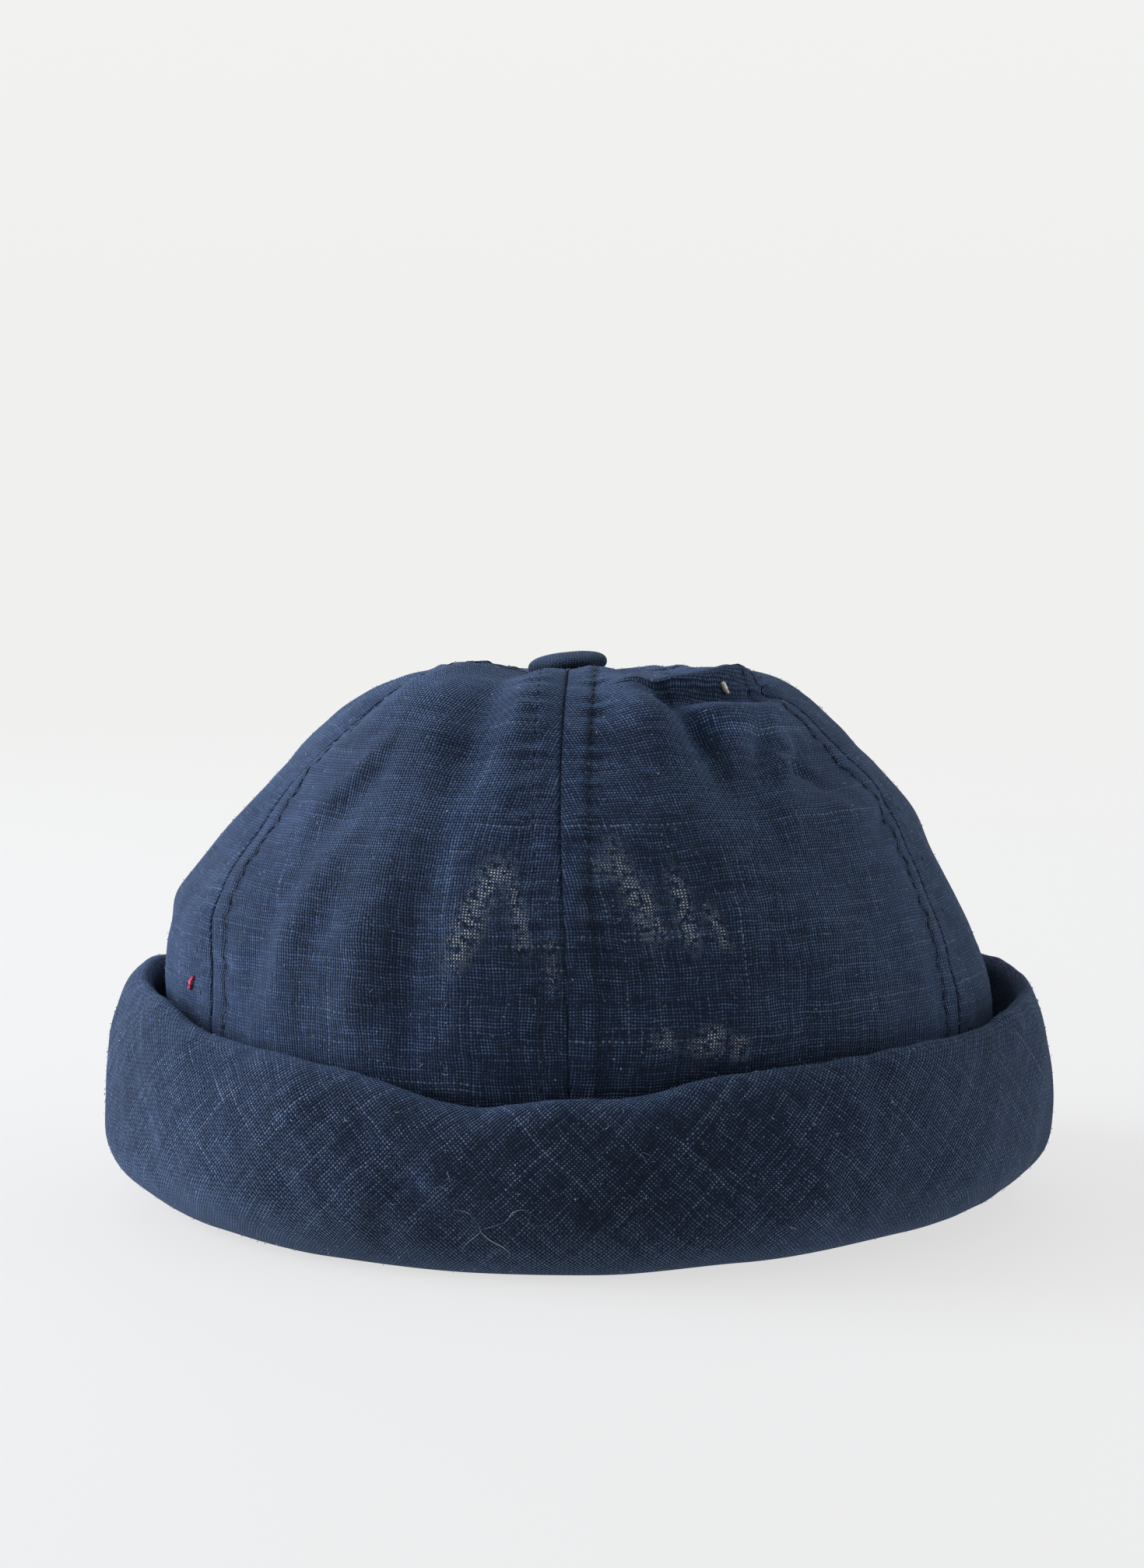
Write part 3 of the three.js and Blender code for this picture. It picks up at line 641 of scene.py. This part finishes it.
def lightThroughWeave(azimuth, radius, height):
    # Sum of slanted Gaussian patches where the yarn is thin and painted light shows through it
    total = np.zeros(np.shape(radius))
    for place, level, wide, tall, slant, strength in lightThroughPlaces:
        up = height - level
        aside = arcFrom(place, azimuth, radius) - slant * up
        total += strength * np.exp(-(aside / wide) ** 2 - (up / tall) ** 4)
    return np.clip(total, 0, 1)


def buildGore(number, material):
    # One gore: its face and its inside, joined round the rim. The inside is set back by one layer, and by
    # two where the allowance is pressed against it
    leftSeam = seams[number]["azimuths"]
    rightSeam = seams[(number + 1) % 6]["azimuths"]
    if number == 5:
        rightSeam = [value + 360 for value in rightSeam]
    azimuth, rise, share, fromSeam, middle = goreGrid(leftSeam, rightSeam)
    profileRadius, _ = crownProfile(azimuth, rise)
    slack = np.minimum(1, profileRadius / (crown["radius"] / 2))
    bulge = crown["bulge"] * slack * (np.sin(np.pi * share) - 0.5)
    radius, height = crownPoint(azimuth, rise, fromSeam, bulge)
    doubled = 1 - smoothStep(fromSeam, *crown["allowanceEdge"])
    inset = crown["cloth"] + crown["allowance"] * doubled
    insideRelief = crown["insideRelief"] * seamRelief(fromSeam, riseLength(0, rise))
    insideRadius, insideHeight = crownPoint(azimuth, rise, fromSeam, bulge, inset=inset + insideRelief)
    face = polar(azimuth, radius, height, crownShift(height))
    inside = polar(azimuth, insideRadius, insideHeight, crownShift(insideHeight))
    hidden = int(crown["rows"] * crown["hiddenShare"])
    keepSkin("crown", face[hidden:-crown["poleRows"]])
    rows, columns = azimuth.shape
    around = np.radians(azimuth - middle) * profileRadius
    uv = np.stack([around + crown["uvStep"] * number, riseLength(0, rise) + 0 * around], -1)
    rim = np.arange(rows * columns).reshape(rows, columns)
    loop = np.concatenate([rim[0, :-1], rim[:-1, -1], rim[-1, :0:-1], rim[:0:-1, 0]])
    beside = np.roll(loop, -1)
    size = rows * columns
    walls = np.stack([beside, loop, loop + size, beside + size], -1)
    faces = np.concatenate([gridFaces(rows, columns), gridFaces(rows, columns, start=size)[:, ::-1], walls])
    wearLightAndShade = sum(strength * bump(fromSeam, distance, width) for distance, width, strength in seamWearAndShade)
    # Broad places of painted light and painted shade
    for place, level, wide, tall, strength in paintedLightAndShadePlaces:
        wearLightAndShade = wearLightAndShade + strength * bump(arcFrom(place, azimuth, radius), 0, wide) * bump(height, level, tall)
    thin = lightThroughWeave(azimuth, radius, height)
    none = np.zeros(size)
    piece = meshPiece(
        "gore_" + seams[number]["gore"],
        np.concatenate([face.reshape(-1, 3), inside.reshape(-1, 3)]), faces, material,
        uv=np.concatenate([uv.reshape(-1, 2)] * 2),
        layers={"wearLightAndShade": np.concatenate([wearLightAndShade.ravel(), none]), "lightThroughWeave": np.concatenate([thin.ravel(), none])},
    )
    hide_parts("crown_panel_" + seams[number]["gore"])
    return piece


crownLinen = linenMaterial("washed navy linen, plain weave, straight grain", linen)
for number in range(6):
    buildGore(number, crownLinen)
print("crown: six gores are sewn round")


# Topstitching: a row of short thread stitches on each side of each seam

stitch = {
    "pitch": 3.1, "length": 2.4, "halfWidth": 0.2, "halfHeight": 0.16, "rings": 6, "lowest": 0.26, "highest": 0.965,
}


def threadPills(centres, alongs, ups):
    # Many short stitches at once: rings of a six-sided ellipse that shrink to both ends, each laid along its
    # own direction and arched down a little at its ends
    rings, sides = stitch["rings"], 6
    share = np.linspace(0, 1, rings)[:, None]
    swell = np.sqrt(np.clip(np.sin(np.pi * (0.04 + 0.92 * share)), 0, 1))
    turn = np.linspace(0, 2 * np.pi, sides, endpoint=False)[None, :]
    across = np.cross(alongs, ups)
    forward = (share - 0.5) * stitch["length"] + 0 * turn
    sideways = stitch["halfWidth"] * swell * np.cos(turn)
    upwards = stitch["halfHeight"] * swell * np.sin(turn) - stitch["halfHeight"] * 1.2 * (2 * share - 1) ** 4
    points = centres[:, None, None, :]
    for reach, way in ((forward, alongs), (sideways, across), (upwards, ups)):
        points = points + reach[None, ..., None] * way[:, None, None, :]
    count = rings * sides
    body = gridFaces(rings, sides, closeColumns=True)
    caps = np.array([[0, 5, 4, 3], [0, 3, 2, 1], [-6, -5, -4, -3], [-6, -3, -2, -1]]) % count
    offsets = (np.arange(len(centres)) * count)[:, None, None]
    faces = np.concatenate([(kind[None] + offsets).reshape(-1, 4) for kind in (body, caps)])
    return points.reshape(-1, 3), faces[:, ::-1]


def seamLinePoint(seam, side, rise):
    # A point of the cloth beside a seam, at the distance of its row of stitches, and the outward normal
    azimuths = throughValues(seam, rise)
    radius, _ = crownProfile(azimuths, rise)
    nextWidth = radius * np.radians(crown["goreSpan"])
    squeeze = np.minimum(1, crown["edgeShare"] * nextWidth / crown["edge"][-1])
    azimuth = azimuths + side * np.degrees(crown["stitchAt"] * squeeze / radius)
    slack = np.minimum(1, radius / (crown["radius"] / 2))
    share = np.minimum(0.5, crown["stitchAt"] * squeeze / nextWidth)
    bulge = crown["bulge"] * slack * (np.sin(np.pi * share) - 0.5)
    radiusHere, height = crownPoint(azimuth, rise, crown["stitchAt"] + 0 * rise, bulge)
    outward, upward = crownNormal(azimuth, rise)
    return polar(azimuth, radiusHere, height, crownShift(height)), polar(azimuth, outward, upward)


def buildTopstitching(material):
    points, faces, start = [], [], 0
    for seam in seams:
        for side in (-1, 1):
            finest = np.linspace(riseAtHeight(stitch["lowest"]), stitch["highest"], 500)
            line, normals = seamLinePoint(seam["azimuths"], side, finest)
            length = np.concatenate([[0], np.cumsum(np.linalg.norm(np.diff(line, axis=0), axis=1))])
            middles = np.arange(stitch["pitch"] / 2, length[-1], stitch["pitch"])
            centre, ahead, up = (
                np.stack([np.interp(at, length, values[:, k]) for k in range(3)], -1)
                for at, values in ((middles, line), (middles + 1, line), (middles, normals)))
            along = ahead - centre
            along /= np.maximum(np.linalg.norm(along, axis=1, keepdims=True), 1e-6)
            up -= along * (up * along).sum(1, keepdims=True)
            up /= np.linalg.norm(up, axis=1, keepdims=True)
            pills, quads = threadPills(centre, along, up)
            points.append(pills)
            faces.append(quads + start)
            start += len(pills)
    piece = meshPiece("topstitching", np.concatenate(points), np.concatenate(faces), material)


navyThread = threadMaterial("dark navy polyester sewing thread, spun", "#131c2c")
buildTopstitching(navyThread)
print("crown: topstitching is laid")


# The cuff: a doubled bias band, rolled under at the foot and folded over at the crest

cuff = {
    "standOff": 14, "height": 45, "cloth": 1.4, "belly": 17, "footFlat": 3, "footPress": 0.2, "hemRise": 9,
    "hemLap": 15, "crestInset": 9.4, "foldRadius": 1.9, "returnLength": 18, "returnLean": 2, "seamGap": 0.3,
    "meanRadius": 100, "reliefHeights": (2.5, 12), "reliefRadii": (92, 97),
    "waves": [(0.34, 26, 70, 11), (0.13, 8, 20, 12)], "around": 600, "joint": 176,
    "spans": {"inner": 8, "heel": 7, "toe": 15, "shoulder": 24, "fold": 8, "return": 10},
}

cuffStations = {
    "azimuth": [-12, 2, 20, 45, 72, 104, 140, 185, 225, 262, 290, 307, 327],
    "crest": [0.755, 0.805, 0.89, 0.935, 0.978, 1.04, 0.97, 0.93, 0.97, 1.08, 1.06, 0.955, 0.9],
    "belly": [0.99, 0.99, 0.992, 0.993, 0.99, 0.989, 0.992, 0.99, 0.994, 0.995, 0.994, 0.994, 0.993],
    "foot": [1.0, 1.0, 0.998, 0.99, 0.972, 0.965, 0.985, 0.995, 0.985, 0.945, 0.932, 0.955, 0.985],
    "inset": [0.9, 0.9, 0.88, 0.8, 0.56, 0.5, 0.75, 0.9, 0.93, 0.9, 0.9, 0.91, 0.93],
    "lift": [0, 0, 0.03, 0.065, 0.09, 0.035, 0, 0, 0, 0.02, 0.03, 0.02, 0.01],
}

# Azimuth, height, turn from level, length, width and depth in mm of each crease in the cuff's outside
cuffCreases = [
    (-21, 22, -46, 26, 5.0, -1.6), (-24, 29, -44, 22, 5, 1.0), (-34, 33, -30, 20, 6, 0.6), (-8, 30, 24, 16, 4, 0.5),
    (6, 22, 50, 18, 6, -0.4), (30, 20, 48, 24, 7, 0.5), (48, 24, 40, 22, 6, -0.5), (70, 26, 60, 18, 6, 0.5),
    (-62, 24, -50, 22, 6, -0.6), (-80, 30, -60, 18, 5, 0.5), (110, 22, 45, 26, 7, -0.6), (150, 26, -40, 26, 7, 0.6),
    (200, 22, 45, 26, 7, -0.6), (240, 25, -45, 24, 6, 0.5),
]


def cuffValue(column, azimuth):
    # Eased from each station to the next, round the ring
    stations = np.array(cuffStations["azimuth"] + [cuffStations["azimuth"][0] + 360], float)
    values = np.array(cuffStations[column] + [cuffStations[column][0]], float)
    turned = stations[0] + (azimuth - stations[0]) % 360
    after = np.clip(np.searchsorted(stations, turned, side="right"), 1, len(stations) - 1)
    ease = smoothStep(turned, stations[after - 1], stations[after])
    return values[after - 1] + (values[after] - values[after - 1]) * ease


def quarter(middleRadius, middleHeight, reachOut, reachUp, first, steps, skip=1):
    # A quarter of an ellipse, from a first turn in quarters of a circle
    turn = np.pi / 2 * (first + np.arange(skip, steps + 1) / steps)[None, :]
    return middleRadius + reachOut * np.cos(turn), middleHeight + reachUp * np.sin(turn)


def cuffPath(azimuth):
    # Middle line of the cloth at each azimuth: down inside the hem, round the foot, up the outside, over
    # the crest and down again. Returns radii and heights, a row for each azimuth
    azimuth = np.asarray(azimuth, float)[:, None]
    spans = cuff["spans"]
    half = cuff["cloth"] / 2
    low = half - cuff["footPress"]
    crest = cuff["height"] * cuffValue("crest", azimuth) - half
    lift = cuff["height"] * cuffValue("lift", azimuth)
    hemFace = crown["radius"] * crown["front"][0] - crown["cloth"] - crown["allowance"] - cuff["seamGap"]
    inner = hemFace - half + 0 * azimuth
    outer = (crown["radius"] + cuff["standOff"]) * cuffValue("belly", azimuth) - half
    top = outer + half - cuff["crestInset"] * cuffValue("inset", azimuth)
    foot = crown["radius"] * cuffValue("foot", azimuth)
    heel, toe = foot - cuff["footFlat"] / 2, foot + cuff["footFlat"] / 2
    hem = crown["hem"] + cuff["hemLap"]
    down = np.linspace(hem, cuff["hemRise"], spans["inner"])[None, :]
    fold = crest - cuff["foldRadius"]
    hang = np.arange(1, spans["return"] + 1)[None, :] / spans["return"]
    pieces = [
        (inner + 0 * down, down + 0 * inner),
        quarter(heel, cuff["hemRise"], heel - inner, cuff["hemRise"] - low, 2, spans["heel"]),
        (foot, low + 0 * foot),
        quarter(toe, cuff["belly"], outer - toe, cuff["belly"] - low, 3, spans["toe"], skip=0),
        quarter(top, cuff["belly"], outer - top, crest - cuff["belly"], 0, spans["shoulder"]),
        quarter(top, fold, cuff["foldRadius"], cuff["foldRadius"], 1, spans["fold"]),
        (top - cuff["foldRadius"] + cuff["returnLean"] * hang ** 1.5, fold - cuff["returnLength"] * hang),
    ]
    radius = np.concatenate([part[0] for part in pieces], 1)
    height = np.concatenate([part[1] + 0 * part[0] for part in pieces], 1)
    height = height + lift * np.maximum(0, 1 - height / cuff["belly"])
    return radius, height


def cuffSurface(azimuth, side):
    # One face of the cuff: the path moved half a cloth along its normal, with creases, soft lumps and a
    # shallow joining seam at the back. Side 1 is the outside and -1 the inside of the fold
    radius, height = cuffPath(azimuth)
    alongRadius, alongHeight = np.gradient(radius, axis=1), np.gradient(height, axis=1)
    size = np.hypot(alongRadius, alongHeight)
    outward, upward = alongHeight / size, -alongRadius / size
    turn = np.asarray(azimuth, float)[:, None]
    steps = np.hypot(np.diff(radius), np.diff(height))
    length = np.concatenate([np.zeros((len(radius), 1)), np.cumsum(steps, 1)], 1)
    outside = smoothStep(height, *cuff["reliefHeights"]) * smoothStep(radius, *cuff["reliefRadii"])
    depth = np.zeros(radius.shape)
    for place, level, slope, long, wide, deep in cuffCreases:
        across = arcFrom(place, turn, radius)
        up = height - level
        cosine, sine = np.cos(np.radians(slope)), np.sin(np.radians(slope))
        along, aside = (across * cosine + up * sine) / long, (up * cosine - across * sine) / wide
        depth += deep * np.exp(-along ** 2 - aside ** 2)
    seamAcross = arcFrom(cuff["joint"], turn, cuff["meanRadius"])
    seam = -0.35 * bump(seamAcross, 0, 0.5) + 0.3 * bump(seamAcross, 0, 5)
    depth = (depth + ripples(turn, radius, height, cuff["waves"]) + seam) * outside
    reach = side * cuff["cloth"] / 2 + depth
    newHeight = height + upward * reach
    newHeight = np.where(height < 2, np.maximum(newHeight, 0.0), newHeight)
    return radius + outward * reach, newHeight, length


def buildCuff(material):
    azimuth = cuff["joint"] + np.linspace(0, 360, cuff["around"] + 1)
    outerRadius, outerHeight, length = cuffSurface(azimuth, 1)
    innerRadius, innerHeight, _ = cuffSurface(azimuth, -1)
    radius = np.concatenate([outerRadius, innerRadius[:, ::-1]], 1)
    height = np.concatenate([outerHeight, innerHeight[:, ::-1]], 1)
    turn = azimuth[:, None] + 0 * radius
    points = polar(turn, radius, height)
    spans = cuff["spans"]
    toe = spans["inner"] + spans["heel"] + 4
    keepSkin("cuff", points[:, toe:toe + spans["toe"] + spans["shoulder"] + 2].transpose(1, 0, 2))
    faces = gridFaces(*radius.shape, closeColumns=True)[:, ::-1]
    # The band is cut on the bias, so its threads run at 45 degrees. The grid's ends meet in the back joint
    around = np.radians(turn) * cuff["meanRadius"]
    lengthBoth = np.concatenate([length, length[:, ::-1]], 1)
    bias = np.sqrt(0.5)
    uv = np.stack([(around + lengthBoth) * bias, (lengthBoth - around) * bias], -1)
    crestHere = bump(lengthBoth, length[:, -1:] - cuff["returnLength"] - 4, 5)
    # Paler along the worn crest, and darker towards the foot: painted shade near the floor
    wearLightAndShade = 0.14 * crestHere - 0.36 * (1 - smoothStep(height, 2, 24))
    piece = meshPiece("cuff_band", points.reshape(-1, 3), faces, material, uv=uv.reshape(-1, 2),
                      layers={"wearLightAndShade": wearLightAndShade, "lightThroughWeave": 0 * wearLightAndShade})
    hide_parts("cuff")
    return piece


cuffLook = dict(
    linen, warp=("#0f1c33", "#1d2e4c"), weft=("#101e37", "#203252"), threadTopHighlight="#768bab",
    gapShadeDepth=1.0, topHighlight=1.15, flecks=1.0, relief=1.2)
cuffLinen = linenMaterial("washed navy linen, plain weave, on the bias", cuffLook)
buildCuff(cuffLinen)
print("cuff: the band is rolled and turned up")


# The button: a padded disc under tight linen, a little askew

button = {
    "radius": 8.7, "thickness": 4.7, "tilt": 6.3, "dome": 0.35, "gather": 0.12, "gathers": 17,
    "around": 96, "steps": 48, "uvPlace": 40, "waves": [(0.1, 5, 14, 21)],
}


def buildButton(material):
    # Superellipse section turned round: nearly flat below, gently domed above, with small gathers under
    # its edge
    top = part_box("top_button")[1][2] / millimetre
    turn = np.linspace(0, 2 * np.pi, button["around"], endpoint=False)[:, None]
    swing = np.linspace(-np.pi / 2, np.pi / 2, button["steps"])[None, :]
    half = button["thickness"] / 2
    radius = button["radius"] * np.abs(np.cos(swing)) ** 0.55
    level = half + half * np.sign(swing) * np.abs(np.sin(swing)) ** 0.9
    level = level + button["dome"] * np.clip(1 - (radius / button["radius"]) ** 2, 0, 1) * (swing > 0)
    gather = button["gather"] * np.sin(button["gathers"] * turn + 2 * np.sin(3 * turn))
    radius = radius + gather * bump(swing, -0.5, 0.4) * smoothStep(radius, 2, 6)
    level = level + ripples(np.degrees(turn), radius, level, button["waves"])
    x, y = radius * np.sin(turn), -radius * np.cos(turn)
    tilt = np.radians(button["tilt"])
    turnedX = x * np.cos(tilt) - level * np.sin(tilt)
    turnedZ = x * np.sin(tilt) + level * np.cos(tilt)
    seat = top - turnedZ.max()
    points = np.stack([turnedX + crown["poleShift"], y, turnedZ + seat], -1)
    faces = gridFaces(*radius.shape, closeRows=True)
    uv = np.stack([x + button["uvPlace"], y + level], -1)
    wearLightAndShade = 0.1 * bump(swing, 0.7, 0.3) + 0 * turn
    piece = meshPiece("covered_button", points.reshape(-1, 3), faces[:, ::-1], material, uv=uv.reshape(-1, 2),
                      layers={"wearLightAndShade": wearLightAndShade, "lightThroughWeave": 0 * wearLightAndShade})
    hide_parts("top_button")
    return piece


buttonLook = dict(
    linen, warp=("#0d1522", "#192334"), weft=("#0e1724", "#1d283b"), threadTopHighlight="#33425a",
    gapShadeDepth=1.0, flecks=0.3)
buildButton(linenMaterial("navy linen drawn tight over a button mould", buttonLook))
print("button: covered and set on top")


# What clings to washed linen: short pale fibres all over, two snipped thread ends and a few long hairs

lint = {
    "fibres": 1500, "length": (0.3, 1.4), "radius": (0.025, 0.045), "seed": 31,
    "neps": 2200, "nepLength": (0.2, 0.5), "nepRadius": (0.05, 0.1), "nepSeed": 32,
    "hairRadius": 0.05, "hairLift": 0.22,
}

# Azimuth and height of the points that each hair passes through
hairs = [
    [(-13.9, 14.6), (-12.3, 14.2), (-11.3, 12.4), (-10.9, 10.6), (-11.6, 9.2), (-12.7, 7.6), (-13.3, 5.8),
     (-12.6, 4.6)],
    [(-10.9, 10.8), (-9.3, 11.7), (-8.0, 12.8), (-7.2, 14.6), (-6.1, 15.2), (-5.3, 14.2), (-5.5, 12.7),
     (-4.6, 11.9), (-3.6, 12.5)],
    [(-10.9, 10.4), (-10.0, 8.8), (-8.6, 7.4), (-7.8, 6.0), (-8.2, 4.8)],
    [(-16.1, 18.6), (-15.2, 19.2), (-14.4, 18.2)], [(6.6, 25.0), (7.0, 26.2), (7.9, 25.6)],
    [(6.1, 26.4), (7.1, 25.3), (7.4, 24.1)], [(-58.9, 30.9), (-58.1, 30.2)], [(23.9, 10.1), (24.8, 9.4)],
    [(-14.6, 22.3), (-14.3, 20.6)], [(31, 24), (32.2, 24.6), (32.4, 26)], [(118, 20), (119.5, 21.8), (121.3, 21.2)],
    [(203, 26), (204.6, 24.4), (206.5, 25.2), (207.6, 23.8)], [(247, 14), (249, 15.3), (250.4, 14.2)],
]


def tubes(paths, radii):
    # Sweeps a square along many paths at once, thinning to both ends. Paths are (count, points, 3) and
    # radii one for each path
    sides = 4
    count, steps, _ = paths.shape
    ahead = np.gradient(paths, axis=1)
    ahead /= np.maximum(np.linalg.norm(ahead, axis=-1, keepdims=True), 1e-9)
    helper = np.where(np.abs(ahead[..., 2:]) < 0.8, [0.0, 0.0, 1.0], [1.0, 0.0, 0.0])
    first = np.cross(ahead, helper)
    first /= np.linalg.norm(first, axis=-1, keepdims=True)
    second = np.cross(ahead, first)
    turn = np.linspace(0, 2 * np.pi, sides, endpoint=False)
    thin = np.sin(np.pi * np.linspace(0.06, 0.94, steps)) ** 0.4
    reach = (radii[:, None] * thin[None, :])[..., None, None]
    ring = first[:, :, None] * np.cos(turn)[:, None] + second[:, :, None] * np.sin(turn)[:, None]
    points = paths[:, :, None] + ring * reach
    one = gridFaces(steps, sides, closeColumns=True)
    last = (steps - 1) * sides
    caps = np.array([[3, 2, 1, 0], [last, last + 1, last + 2, last + 3]])
    faces = np.concatenate([one, caps])[None] + (np.arange(count) * steps * sides)[:, None, None]
    return points.reshape(-1, 3), faces.reshape(-1, 4)


def onTop(azimuth, reach, offsets, lift):
    # Points round the crown's kept point nearest to one azimuth and radius, offset along the cloth in mm,
    # for a mark on the flat top
    places, across, upward, outward, _ = skins["crown"]
    turn = np.radians(azimuth)
    best = np.hypot(places[:, 0] - reach * np.sin(turn), places[:, 1] + reach * np.cos(turn)).argmin()
    aside, along = np.array(offsets, float).T[:, :, None]
    return places[best] + across[best] * aside + upward[best] * along + outward[best] * lift


def onCloth(part, azimuth, height, lift):
    # The cloth's point at an azimuth and height, from the nearest kept point and its tangents, lifted off
    places, across, upward, outward, _ = skins[part]
    turn = np.degrees(np.arctan2(places[:, 0], -places[:, 1]))
    radius = np.hypot(places[:, 0], places[:, 1])
    found = []
    for place, level in zip(azimuth, height):
        aside = arcFrom(turn, place, radius)
        best = np.argmin(aside ** 2 + (level - places[:, 2]) ** 2)
        slope = max(0.25, upward[best, 2])
        found.append(places[best] + across[best] * aside[best] + upward[best] * (level - places[best, 2]) / slope
                     + outward[best] * lift)
    return np.array(found)


def curveThrough(points, steps):
    # Catmull-Rom curve through a few points, resampled
    share = np.linspace(0, 1, steps)
    return np.stack([throughValues(points[:, k], share) for k in range(3)], -1)


def scatterFibres(count, lengths, radii, seed, curl=0.9, steps=6):
    # Short curved fibres flat on the cloth, spread evenly over its area and turned every way
    draw = np.random.RandomState(seed)
    places, across, upward, outward, area = [np.concatenate(both) for both in zip(skins["crown"], skins["cuff"])]
    chosen = draw.choice(len(places), count, p=area[:, 0] / area.sum())
    length = draw.uniform(*lengths, count)[:, None]
    heading = draw.uniform(0, 2 * np.pi, count)[:, None]
    bend = draw.normal(0, curl, count)[:, None]
    share = np.linspace(0, 1, steps)[None, :]
    turn = heading + bend * share * 2
    step = length / (steps - 1)
    sideways = np.cumsum(np.cos(turn) * step, 1)
    upwards = np.cumsum(np.sin(turn) * step, 1)
    lift = 0.1 + draw.uniform(0, 0.25, count)[:, None] * np.sin(np.pi * share)
    paths = (places[chosen][:, None] + across[chosen][:, None] * sideways[..., None]
             + upward[chosen][:, None] * upwards[..., None] + outward[chosen][:, None] * lift[..., None])
    return tubes(paths, draw.uniform(*radii, count))


def fibreMaterial(name, dark, pale):
    # Loose flax fibre: matte, from the cloth's slate to nearly white
    material, tree, shader = newMaterial(name, 0.8, 0.2)
    place = addNode(tree, "ShaderNodeTexCoord", take="Object")
    patch = addNode(tree, "ShaderNodeTexNoise", {"Vector": place, "Scale": 260.0, "Detail": 1.0})
    share = addNode(tree, "ShaderNodeMapRange", {"Value": patch, "From Min": 0.42, "From Max": 0.72})
    colour = addNode(tree, "ShaderNodeMix", {
        "Factor": share, colourA: linear(dark), colourB: linear(pale),
    }, **ofColours)
    tree.links.new(colour, shader.inputs["Base Color"])
    return material


for part, kept in skins.items():
    skins[part] = [np.concatenate([values[k] for values in kept]) for k in range(5)]
paleFibre = fibreMaterial("loose flax fibre, undyed", "#4d5c75", "#b9c1cc")
fibrePoints, fibreFaces = scatterFibres(lint["fibres"], lint["length"], lint["radius"], lint["seed"])
nepPoints, nepFaces = scatterFibres(
    lint["neps"], lint["nepLength"], lint["nepRadius"], lint["nepSeed"], curl=0.4, steps=4)
hairPaths = []
for hair in hairs:
    azimuths, levels = np.array(hair, float).T
    hairPaths.append(curveThrough(onCloth("cuff", azimuths, levels, lint["hairLift"]), 40))
hairPoints, hairFaces = tubes(np.array(hairPaths), np.full(len(hairs), lint["hairRadius"]))
offsets = np.cumsum([0, len(fibrePoints), len(nepPoints)])
meshPiece("lint_fibres", np.concatenate([fibrePoints, nepPoints, hairPoints]),
          np.concatenate([fibreFaces, nepFaces + offsets[1], hairFaces + offsets[2]]), paleFibre)


# Two snipped ends of thread caught in the cloth: a red one low on the left and a cream one near the top

threadEnds = {
    "red_thread_end": {
        "colour": "#d2475f", "radius": 0.48,
        "points": [(-65.2, 52.2), (-65.5, 51.6), (-66.0, 50.9), (-65.9, 50.2), (-66.4, 49.5), (-66.9, 49.1)],
    },
    "cream_thread_end": {
        "colour": "#d9cdbb", "radius": 0.62, "place": (45.4, 43.2),
        "points": [(-0.9, 1.5), (-0.5, 0.7), (0.1, -0.2), (1.0, -0.6)],
    },
}
for name, end in threadEnds.items():
    lift = end["radius"] * 0.7
    if "place" in end:
        marks = onTop(*end["place"], end["points"], lift)
    else:
        marks = onCloth("crown", *np.array(end["points"], float).T, lift)
    path = curveThrough(marks, 14)
    points, faces = tubes(path[None], np.array([end["radius"]]))
    cotton = threadMaterial(name.split("_")[0] + " cotton thread, snipped", end["colour"], 0.75)
    meshPiece(name, points, faces, cotton)
print("lint: fibres, hairs and thread ends lie on the cloth")
